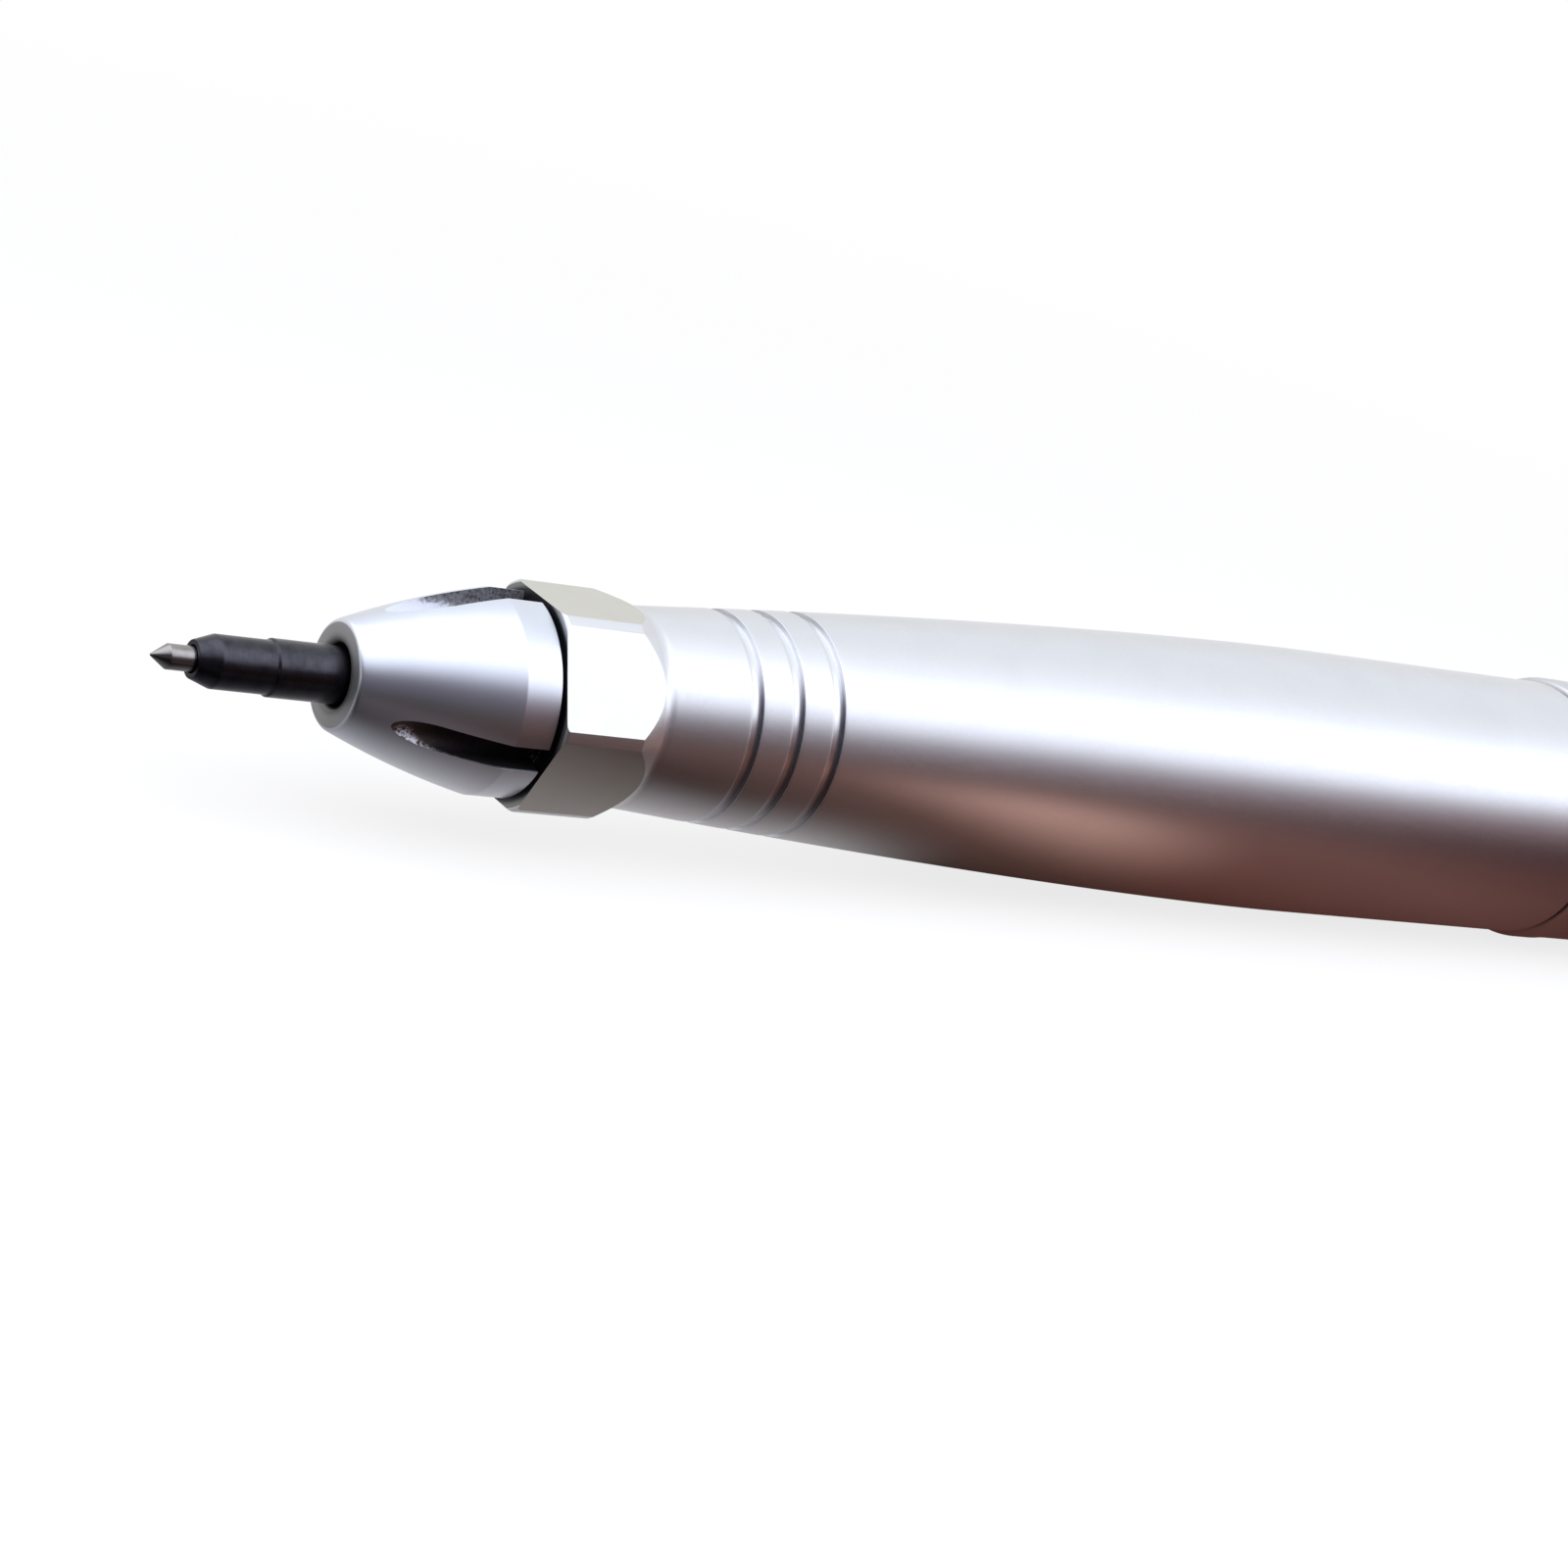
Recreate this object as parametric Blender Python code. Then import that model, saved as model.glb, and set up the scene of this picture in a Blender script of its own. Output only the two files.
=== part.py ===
"""Air engraving pen: a slim pneumatic pen whose piston strikes a carbide-tipped stylus.

The pen lies on its side along X with its point towards -X. A station is a distance from the point,
measured along the pen's axis. A clock angle turns round that axis: zero faces -Y and a quarter turn
faces +Z. Lengths are in metres. The stack is, from the point: the sprung stylus in its nose cone, the
guide bush, the cylinder with its free piston, the disc valve, a spacer tube, and the throttle body,
whose turning ring opens and shuts the air.
"""

import math

import bmesh
import bpy
from mathutils import Matrix, Vector

FULL_TURN = math.tau
QUARTER_TURN = math.tau / 4

# Clearances
SEAT_GAP = 0.0002
SLIP_FIT = 0.0002
PARTING_GAP = 0.0003
CUT_OVERRUN = 0.001

# Stylus: carbide point, shank, spring, washer and bumper
STYLUS_REACH = 0.01326
STYLUS_STROKE = 0.0012
POINT_TIP_RADIUS = 0.00008
POINT_RADIUS = 0.00086
POINT_CONE_LENGTH = 0.00115
POINT_REACH = 0.00292
POINT_SOCKET_DEPTH = 0.005
POINT_FIT = 0.0001
SHANK_FACE_RADIUS = 0.0013
SHANK_TAPER_LENGTH = 0.00144
SHANK_NECK_RADIUS = 0.00182
SHANK_NECK_LENGTH = 0.00393
SHANK_RADIUS = 0.001965
FLANGE_CLEARANCE = 0.0003
FLANGE_LENGTH = 0.0016
ANVIL_OVERLAP = 0.0011
ANVIL_CHAMFER = 0.0004
WASHER_LENGTH = 0.0007
BUMPER_LENGTH = 0.0012
SPRING_WIRE_RADIUS = 0.0003
SPRING_TURNS = 7
SPRING_POINTS_PER_TURN = 10

# Nose cone
NOSE_FACE_RADIUS = 0.00375
NOSE_EDGE = 0.0002
NOSE_CONE_LENGTH = 0.01076
NOSE_RELIEF = 0.00005
NOSE_LAND_LENGTH = 0.00267
NOSE_BULGE_SHARE = 0.3
NOSE_MOUTH_LENGTH = 0.0039
NOSE_MOUTH_CHAMFER = 0.00015
NOSE_SPIGOT_LENGTH = 0.0055
CHAMBER_SHARE = 0.5
FLUTE_RADIUS = 0.001
TOP_FLUTE_RADIUS = 0.00135
FLUTE_DEPTH_IN_SPIGOT = 0.00064
FLUTE_OFFSET = 0.0018
FLUTE_CLOCK = math.radians(-19)
FLUTE_SPACING = math.radians(112)

# Guide bush and its seal
BUSH_PILOT_LENGTH = 0.0028
BUSH_FLANGE_LENGTH = 0.002
BUSH_TAIL_LENGTH = 0.0038
BUSH_TAIL_RELIEF = 0.00076
BUSH_NOTCHES = 3
BUSH_NOTCH_WIDTH = 0.003
STYLUS_SEAL_RADIUS = 0.0005
SEAL_FIT = 0.0001

# Housing
HEX_ACROSS_FLATS = 0.0143
HEX_SIDES = 6
HEX_CORNER_HEIGHT = 0.00087
HEX_LENGTH = 0.00607
HEX_CHAMFER_ANGLE = math.radians(27)
HEX_EDGE = 0.00015
NECK_RELIEF = 0.00018
NECK_LENGTH = 0.00052
BODY_FRONT_RELIEF = 0.00007
BODY_SWELL = 0.00314
BODY_TAPER_LENGTH = 0.0605
BODY_TAPER_POWER = 1.55
BODY_TAPER_STEPS = 7
BODY_REAR_CHAMFER = 0.0003
HOUSING_LENGTH = 0.0942
NOSE_BORE_WALL = 0.00155
CYLINDER_GUIDE_WALL = 0.00105
GROOVE_COUNT = 3
GROOVE_OFFSET = 0.01509
GROOVE_PITCH = 0.00325
GROOVE_WIDTH = 0.00078
GROOVE_DEPTH = 0.00034

# Cylinder and piston
CYLINDER_WALL = 0.0017
CYLINDER_LENGTH = 0.0318
CYLINDER_GUIDED_LENGTH = 0.0123
COLLAR_LENGTH = 0.004
EXHAUST_SLOTS = 3
EXHAUST_SLOT_WIDTH = 0.002
EXHAUST_SLOT_DEPTH = 0.0009
EXHAUST_PORTS = 4
EXHAUST_PORT_RADIUS = 0.0007
EXHAUST_PORT_OFFSET = 0.018
FEED_RADIUS = 0.00045
FEED_OUTLET_RADIUS = 0.00035
FEED_OUTLET_OFFSET = 0.0037
PISTON_LENGTH = 0.018
PISTON_CHAMFER = 0.0004
PISTON_GAP = 0.0003

# Disc valve
VALVE_PLATE_LENGTH = 0.0015
VALVE_PORT_RADIUS = 0.0015
FEED_CHANNEL_DEPTH = 0.0006
FEED_CHANNEL_WIDTH = 0.0006
FEED_CHANNEL_INNER_RADIUS = 0.0024
VALVE_DISC_RADIUS = 0.003
VALVE_DISC_LENGTH = 0.0006
VALVE_LIFT = 0.0004
VALVE_CAP_LENGTH = 0.0046
VALVE_CAP_HOLES = 4
VALVE_CAP_HOLE_RADIUS = 0.0005
VALVE_CAP_HOLE_CIRCLE = 0.0018
DOWEL_COUNT = 2
DOWEL_RADIUS = 0.0005
DOWEL_LENGTH = 0.003
DOWEL_INSET = 0.0012
DOWEL_FIT = 0.0001
DOWEL_CLOCK = math.radians(60)

# Stack spring and spacer tube
STACK_SPRING_WIDTH = 0.0026
STACK_SPRING_THICKNESS = 0.0003
STACK_SPRING_WAVE = 0.0005
STACK_SPRING_WAVES = 3
SPACER_WALL = 0.002
SPACER_CHAMFER = 0.0004

# Throttle body
BARREL_WALL = 0.00222
THROTTLE_ENGAGEMENT = 0.0223
SPIGOT_LENGTH = 0.0056
SPIGOT_CHAMFER = 0.0004
THREAD_RELIEF = 0.0002
SPIGOT_STEP = 0.0004
GALLERY_RADIUS = 0.0035
GALLERY_WALL = 0.003
PORT_RADIUS = 0.0012
FRONT_PORT_OFFSET = 0.0037
REAR_PORT_OFFSET = 0.0102
PORT_COUNT = 2
CLIP_THICKNESS = 0.0008
CLIP_FIT = 0.0001
CLIP_GROOVE_DEPTH = 0.0007
CLIP_PROUD = 0.0012
CLIP_OPENING = math.radians(40)
CLIP_SHOULDER_LENGTH = 0.0009
INLET_BOSS_STEP = 0.0005
INLET_BOSS_LENGTH = 0.012
INLET_BOSS_CHAMFER = 0.0004
INLET_FLAT_DEPTH = 0.001
INLET_FLATS_OFFSET = 0.0012
INLET_BORE_RADIUS = 0.0045
INLET_BORE_DEPTH = 0.0115
INLET_CHAMFER = 0.0004
SCREEN_THICKNESS = 0.0005
SCREEN_HOLES = 6
SCREEN_HOLE_RADIUS = 0.0006
SCREEN_HOLE_CIRCLE = 0.0026

# Throttle ring, its stop and its detent
RING_LENGTH = 0.0147
RING_PROUD = 0.00038
RING_CHAMFER = 0.0006
GRIP_GROOVES = 18
GRIP_GROOVE_SIDES = 2
GRIP_GROOVE_DEPTH = 0.0004
GRIP_OFFSET = 0.0024
POCKET_WIDTH = 0.004
POCKET_DEPTH = 0.0011
POCKET_MARGIN = 0.0001
STOP_PIN_RADIUS = 0.00045
STOP_PIN_FIT = 0.00012
STOP_PIN_SEAT = 0.002
STOP_PIN_REACH = 0.0014
STOP_CLOCK = math.radians(-45)
THROTTLE_TURN = math.radians(90)
BALL_RADIUS = 0.001
BALL_PROUD = 0.0007
BALL_FIT = 0.0002
DETENT_HOLE_DEPTH = 0.0036
DETENT_COIL_RADIUS = 0.0007
DETENT_WIRE_RADIUS = 0.00015
DETENT_TURNS = 2.5
DETENT_POINTS_PER_TURN = 8

# O-rings in outside grooves, all of one section
O_RING_RADIUS = 0.00045
O_RING_GROOVE_MARGIN = 0.00015
COLLAR_SEAL_OFFSET = 0.002
SPIGOT_SEAL_OFFSET = 0.0024
RING_SEAL_OFFSET = 0.0012

# Facets
FINE_SIDES = 40
RING_SIDES = 2 * GRIP_GROOVE_SIDES * GRIP_GROOVES
MEDIUM_SIDES = 28
SMALL_SIDES = 24
DRILL_SIDES = 12
SEAL_SIDES = 6
BALL_MILL_STEPS = 4
SMOOTH_ANGLE = math.radians(30)

# Shares
MERGE_SHARE = 0.001
NECK_CUT_SHARE = 0.1

# Stations, front to rear
NOSE_FRONT = STYLUS_REACH
CHAMBER_FRONT = NOSE_FRONT + NOSE_MOUTH_LENGTH
NOSE_LAND_FRONT = NOSE_FRONT + NOSE_CONE_LENGTH
NOSE_REAR = NOSE_LAND_FRONT + NOSE_LAND_LENGTH
SPIGOT_END = NOSE_REAR + NOSE_SPIGOT_LENGTH
HOUSING_FRONT = NOSE_REAR + PARTING_GAP
HEX_END = HOUSING_FRONT + HEX_LENGTH
HOUSING_REAR = HOUSING_FRONT + HOUSING_LENGTH
BUSH_FLANGE_FRONT = SPIGOT_END + SEAT_GAP
BUSH_FRONT = BUSH_FLANGE_FRONT - BUSH_PILOT_LENGTH
BUSH_TAIL_FRONT = BUSH_FLANGE_FRONT + BUSH_FLANGE_LENGTH
BUSH_REAR = BUSH_TAIL_FRONT + BUSH_TAIL_LENGTH
BUMPER_FRONT = BUSH_FRONT - SEAT_GAP - BUMPER_LENGTH
FLANGE_REAR = BUMPER_FRONT - SEAT_GAP
FLANGE_FRONT = FLANGE_REAR - FLANGE_LENGTH
WASHER_FRONT = FLANGE_FRONT - SEAT_GAP - WASHER_LENGTH
SHANK_FRONT = POINT_REACH
CYLINDER_FRONT = BUSH_REAR + SEAT_GAP
CYLINDER_REAR = CYLINDER_FRONT + CYLINDER_LENGTH
MAIN_BORE_FRONT = CYLINDER_FRONT + CYLINDER_GUIDED_LENGTH
ANVIL_REAR = CYLINDER_FRONT + STYLUS_STROKE + ANVIL_OVERLAP
PISTON_FRONT = ANVIL_REAR + PISTON_GAP
VALVE_PLATE_FRONT = CYLINDER_REAR + SEAT_GAP
VALVE_PLATE_REAR = VALVE_PLATE_FRONT + VALVE_PLATE_LENGTH
VALVE_CAP_FRONT = VALVE_PLATE_REAR + SEAT_GAP
VALVE_CAP_REAR = VALVE_CAP_FRONT + VALVE_CAP_LENGTH
STACK_SPRING_FRONT = VALVE_CAP_REAR + SEAT_GAP
SPACER_FRONT = STACK_SPRING_FRONT + STACK_SPRING_THICKNESS + STACK_SPRING_WAVE + SEAT_GAP
THROTTLE_FRONT = HOUSING_REAR - THROTTLE_ENGAGEMENT
SPACER_REAR = THROTTLE_FRONT - SEAT_GAP
THREAD_FRONT = THROTTLE_FRONT + SPIGOT_LENGTH
RING_FRONT = HOUSING_REAR + PARTING_GAP
RING_REAR = RING_FRONT + RING_LENGTH
FRONT_PORT = RING_FRONT + FRONT_PORT_OFFSET
REAR_PORT = RING_FRONT + REAR_PORT_OFFSET
DETENT = (FRONT_PORT + REAR_PORT) / 2
CLIP_FRONT = RING_REAR + SEAT_GAP
CLIP_REAR = CLIP_FRONT + CLIP_THICKNESS
BOSS_FRONT = CLIP_REAR + CLIP_FIT + CLIP_SHOULDER_LENGTH
PEN_REAR = BOSS_FRONT + INLET_BOSS_LENGTH
INLET_FLOOR = PEN_REAR - INLET_BORE_DEPTH

# Radii that follow from the hexagon, front to rear
FLAT_RADIUS = HEX_ACROSS_FLATS / 2
HEX_CORNER_RADIUS = FLAT_RADIUS + HEX_CORNER_HEIGHT
NOSE_RADIUS = FLAT_RADIUS - NOSE_RELIEF
NOSE_BORE_RADIUS = FLAT_RADIUS - NOSE_BORE_WALL
NOSE_SPIGOT_RADIUS = NOSE_BORE_RADIUS - SLIP_FIT
FLUTE_FLOOR_RADIUS = NOSE_SPIGOT_RADIUS - FLUTE_DEPTH_IN_SPIGOT
SHANK_BORE_RADIUS = SHANK_RADIUS + SLIP_FIT
SPRING_CHAMBER_RADIUS = SHANK_RADIUS + (NOSE_SPIGOT_RADIUS - SHANK_RADIUS) * CHAMBER_SHARE
SPRING_RADIUS = (SHANK_RADIUS + SPRING_CHAMBER_RADIUS) / 2
FLANGE_RADIUS = SPRING_CHAMBER_RADIUS - FLANGE_CLEARANCE
BUSH_PILOT_RADIUS = SPRING_CHAMBER_RADIUS - SLIP_FIT
BUSH_TAIL_RADIUS = FLUTE_FLOOR_RADIUS - BUSH_TAIL_RELIEF
STYLUS_SEAL_CIRCLE = SHANK_RADIUS + SEAL_FIT + STYLUS_SEAL_RADIUS
BODY_FRONT_RADIUS = FLAT_RADIUS - BODY_FRONT_RELIEF
BODY_RADIUS = BODY_FRONT_RADIUS + BODY_SWELL
CYLINDER_RADIUS = FLAT_RADIUS - CYLINDER_GUIDE_WALL - SLIP_FIT
PISTON_BORE_RADIUS = CYLINDER_RADIUS - CYLINDER_WALL
PISTON_RADIUS = PISTON_BORE_RADIUS - SLIP_FIT
FEED_CIRCLE = (PISTON_BORE_RADIUS + CYLINDER_RADIUS) / 2
THROTTLE_RADIUS = BODY_RADIUS - BARREL_WALL
THREAD_RADIUS = THROTTLE_RADIUS - THREAD_RELIEF
MAIN_BORE_RADIUS = THREAD_RADIUS - SPIGOT_STEP
STACK_RADIUS = MAIN_BORE_RADIUS - SLIP_FIT
DOWEL_CIRCLE = STACK_RADIUS - DOWEL_INSET
RING_BORE_RADIUS = THROTTLE_RADIUS + SLIP_FIT
RING_RADIUS = BODY_RADIUS + RING_PROUD
STOP_PIN_CIRCLE = (RING_BORE_RADIUS + BODY_RADIUS) / 2
INLET_BOSS_RADIUS = THROTTLE_RADIUS - INLET_BOSS_STEP
AXIS_HEIGHT = RING_RADIUS

# Stations of the seals
STYLUS_SEAL_STATION = BUSH_TAIL_FRONT + BUSH_TAIL_LENGTH / 2
COLLAR_SEAL_STATION = CYLINDER_REAR - COLLAR_SEAL_OFFSET
SPIGOT_SEAL_STATION = THROTTLE_FRONT + SPIGOT_SEAL_OFFSET

# Finishes: base colour, roughness and metallic value
CARBIDE = ("carbide", (0.62, 0.62, 0.64), 0.25, 1.0)
BLACK_OXIDE_STEEL = ("black_oxide_steel", (0.045, 0.045, 0.052), 0.36, 1.0)
SPRING_STEEL = ("spring_steel", (0.45, 0.45, 0.46), 0.3, 1.0)
TURNED_STEEL = ("turned_steel", (0.6, 0.59, 0.6), 0.28, 1.0)
SATIN_ALUMINIUM = ("satin_aluminium", (0.74, 0.74, 0.78), 0.42, 1.0)
BRONZE = ("bronze", (0.55, 0.36, 0.16), 0.35, 1.0)
GROUND_STEEL = ("ground_steel", (0.55, 0.56, 0.58), 0.22, 1.0)
BRASS = ("brass", (0.72, 0.52, 0.22), 0.3, 1.0)
BLACK_RUBBER = ("black_rubber", (0.02, 0.02, 0.02), 0.65, 0.0)
URETHANE = ("urethane", (0.55, 0.25, 0.05), 0.5, 0.0)


def clear_scene():
    """Remove whatever the open file holds."""
    for obj in list(bpy.data.objects):
        bpy.data.objects.remove(obj, do_unlink=True)


def make_material(piece, finish):
    """Give one piece its own Principled material."""
    label, colour, roughness, metallic = finish
    material = bpy.data.materials.new(f"{piece}_{label}")
    material.use_nodes = True
    shader = material.node_tree.nodes["Principled BSDF"]
    shader.inputs["Base Color"].default_value = (*colour, 1.0)
    shader.inputs["Roughness"].default_value = roughness
    shader.inputs["Metallic"].default_value = metallic
    return material


def on_axis(station):
    """The world place of a station on the pen's axis."""
    return Vector((station - PEN_REAR / 2, 0.0, AXIS_HEIGHT))


def clock_vector(station, radius, angle):
    """A point at a station, a distance from the axis and a clock angle."""
    return Vector((station, -radius * math.cos(angle), radius * math.sin(angle)))


def evenly(count, start=QUARTER_TURN):
    """Clock angles spaced evenly round the axis."""
    return [start + FULL_TURN * index / count for index in range(count)]


def add_turned(bm, outline, sides, start=0.0, sweep=FULL_TURN, wave=0.0, waves=0):
    """Turn a closed outline of (station, radius) points round the axis.

    A point with a second radius alternates between its two radii, in runs of GRIP_GROOVE_SIDES
    sides. A sweep under a full turn leaves a sector with flat ends. A wave shifts each side along
    the axis.
    """
    closed = sweep == FULL_TURN
    columns = sides if closed else sides + 1
    rings = []
    for station, *radii in outline:
        if not any(radii):
            rings.append([bm.verts.new((station, 0.0, 0.0))] * columns)
            continue
        ring = []
        for column in range(columns):
            angle = start + sweep * column / sides
            radius = radii[(column // GRIP_GROOVE_SIDES) % len(radii)]
            shift = wave * (1 - math.cos(waves * angle)) / 2
            ring.append(bm.verts.new(clock_vector(station + shift, radius, angle)))
        rings.append(ring)
    for ring, following in zip(rings, rings[1:] + rings[:1]):
        for column in range(sides):
            beyond = (column + 1) % columns
            corners = [ring[column], ring[beyond], following[beyond], following[column]]
            face = list(dict.fromkeys(corners))
            if len(face) > 2:
                bm.faces.new(face)
    if not closed:
        bm.faces.new([ring[0] for ring in rings])
        bm.faces.new([ring[-1] for ring in reversed(rings)])


def add_tube(bm, front, rear, inner, outer, sides, chamfer=0.0):
    """Turn a plain tube whose outer edges may be chamfered."""
    outline = [(front, inner), (front, outer - chamfer), (front + chamfer, outer)]
    outline += [(rear - chamfer, outer), (rear, outer - chamfer), (rear, inner)]
    if not chamfer:
        outline = [(front, inner), (front, outer), (rear, outer), (rear, inner)]
    add_turned(bm, outline, sides)


def add_rod(bm, start, end, radius, sides=DRILL_SIDES):
    """Add a round rod between two points."""
    along = end - start
    turn = along.to_track_quat("Z", "Y").to_matrix().to_4x4()
    matrix = Matrix.Translation((start + end) / 2) @ turn
    bmesh.ops.create_cone(
        bm, cap_ends=True, segments=sides, radius1=radius, radius2=radius, depth=along.length, matrix=matrix
    )


def add_block(bm, low, high, angle=0.0):
    """Add a block between two corners, then turn it to a clock angle; it is drawn for angle zero."""
    corners = bmesh.ops.create_cube(bm, size=1.0)["verts"]
    for vert in corners:
        for axis in range(3):
            vert.co[axis] = high[axis] if vert.co[axis] > 0 else low[axis]
    bmesh.ops.rotate(bm, verts=corners, matrix=Matrix.Rotation(-angle, 3, "X"))


def add_radial_slot(bm, front, rear, width, inner, outer, angle):
    """Add a block that cuts a straight-sided slot between two distances from the axis."""
    add_block(bm, (front, -outer, -width / 2), (rear, -inner, width / 2), angle)


def add_ball_slot(bm, front, rear, radius, floor, top, angle):
    """Add the volume that a ball-ended mill sweeps along the axis, its tip at floor."""
    points = []
    centre = floor + radius
    for station in (front, rear):
        for level in range(BALL_MILL_STEPS + 1):
            polar = QUARTER_TURN * level / BALL_MILL_STEPS
            reach = radius * math.sin(polar)
            height = centre - radius * math.cos(polar)
            for side in evenly(DRILL_SIDES, 0.0):
                across = reach * math.sin(side)
                points.append(bm.verts.new((station + reach * math.cos(side), -height, across)))
        for side in evenly(DRILL_SIDES, 0.0):
            points.append(bm.verts.new((station + radius * math.cos(side), -top, radius * math.sin(side))))
    bmesh.ops.rotate(bm, verts=points, matrix=Matrix.Rotation(-angle, 3, "X"))
    bmesh.ops.remove_doubles(bm, verts=points, dist=radius * MERGE_SHARE)
    points = [vert for vert in points if vert.is_valid]
    hull = bmesh.ops.convex_hull(bm, input=points)
    spare = {item for item in hull["geom_interior"] if isinstance(item, bmesh.types.BMVert)}
    bmesh.ops.delete(bm, geom=list(spare), context="VERTS")


def finish_mesh(name, bm, station):
    """Make a mesh whose origin is on the pen's axis at a station."""
    bmesh.ops.translate(bm, verts=bm.verts, vec=(-station, 0.0, 0.0))
    bmesh.ops.recalc_face_normals(bm, faces=bm.faces)
    mesh = bpy.data.meshes.new(name)
    bm.to_mesh(mesh)
    bm.free()
    return mesh


def place(name, data, station):
    """Link an object with its origin on the pen's axis at a station."""
    obj = bpy.data.objects.new(name, data)
    obj.location = on_axis(station)
    bpy.context.scene.collection.objects.link(obj)
    return obj


def piece(name, station, finish, *adders):
    """Build one piece from functions that each add a body to its mesh."""
    bm = bmesh.new()
    for add in adders:
        add(bm)
    mesh = finish_mesh(name, bm, station)
    mesh.shade_smooth()
    mesh.set_sharp_from_angle(angle=SMOOTH_ANGLE)
    mesh.materials.append(make_material(name, finish))
    return place(name, mesh, station)


def turned(name, outline, sides, finish):
    """Build one turned piece, its origin at its outline's first station."""
    return piece(name, outline[0][0], finish, lambda bm: add_turned(bm, outline, sides))


def cut(target, label, *adders):
    """Cut bodies out of a piece with one Boolean, from a hidden cutter."""
    bm = bmesh.new()
    for add in adders:
        add(bm)
    name = f"cut_{target.name}_{label}"
    cutter = place(name, finish_mesh(name, bm, 0.0), 0.0)
    cutter.hide_render = True
    cutter.display_type = "WIRE"
    modifier = target.modifiers.new(label, "BOOLEAN")
    modifier.operation = "DIFFERENCE"
    modifier.solver = "EXACT"
    modifier.object = cutter


def outside_groove(station, wall):
    """Outline points of an O-ring groove that is cut into an outside wall."""
    half = O_RING_RADIUS + O_RING_GROOVE_MARGIN
    floor = wall - 2 * O_RING_RADIUS
    front = station - half
    rear = station + half
    return [(front, wall), (front, floor), (rear, floor), (rear, wall)]


def o_ring(name, station, circle, section):
    """Build an O-ring from a circle of sections."""
    outline = []
    for index in range(SEAL_SIDES):
        angle = FULL_TURN * index / SEAL_SIDES
        outline.append((station + section * math.cos(angle), circle + section * math.sin(angle)))
    return piece(name, station, BLACK_RUBBER, lambda bm: add_turned(bm, outline, SMALL_SIDES))


def groove_seal(name, station, wall, bore):
    """Build the O-ring of an outside groove, clear of the groove's floor and of the bore round it."""
    clearance = (bore - wall) / 2
    return o_ring(name, station, wall - O_RING_RADIUS + clearance / 2, O_RING_RADIUS)


def coil(name, origin, along, length, radius, wire, turns, points_per_turn, finish):
    """Build a helical spring of one unbroken wire, from a place along a direction."""
    curve = bpy.data.curves.new(name, "CURVE")
    curve.dimensions = "3D"
    curve.bevel_depth = wire
    curve.bevel_resolution = 1
    curve.use_fill_caps = True
    count = int(turns * points_per_turn) + 1
    spline = curve.splines.new("POLY")
    spline.points.add(count - 1)
    turn = along.to_track_quat("X", "Z").to_matrix()
    rise = length - 2 * wire
    for index, point in enumerate(spline.points):
        angle = FULL_TURN * turns * index / (count - 1)
        along_axis = wire + rise * index / (count - 1)
        local = Vector((along_axis, radius * math.cos(angle), radius * math.sin(angle)))
        point.co = (*(turn @ local), 1.0)
    curve.materials.append(make_material(name, finish))
    spring = bpy.data.objects.new(name, curve)
    spring.location = origin
    bpy.context.scene.collection.objects.link(spring)
    print(f"{name}: least gap between turns {(rise / turns - 2 * wire) * 1000:.2f} mm")
    return spring


def nose_radius(share):
    """The nose cone's radius at a share of its length: a straight cone with a slight bulge."""
    bulged = share + NOSE_BULGE_SHARE * share * (1 - share)
    return NOSE_FACE_RADIUS + (NOSE_RADIUS - NOSE_FACE_RADIUS) * bulged


def body_radius(station):
    """The housing's outer radius behind its hexagon: a taper that dies away into a straight barrel."""
    share = min((station - body_front()) / BODY_TAPER_LENGTH, 1.0)
    return BODY_FRONT_RADIUS + (BODY_RADIUS - BODY_FRONT_RADIUS) * (1 - (1 - share) ** BODY_TAPER_POWER)


def neck_station():
    """Where the chamfer behind the hexagon meets the neck."""
    drop = HEX_CORNER_RADIUS - FLAT_RADIUS + NECK_RELIEF
    return HEX_END + drop / math.tan(HEX_CHAMFER_ANGLE)


def body_front():
    """Where the tapered body starts, just behind the neck."""
    return neck_station() + NECK_LENGTH


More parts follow.
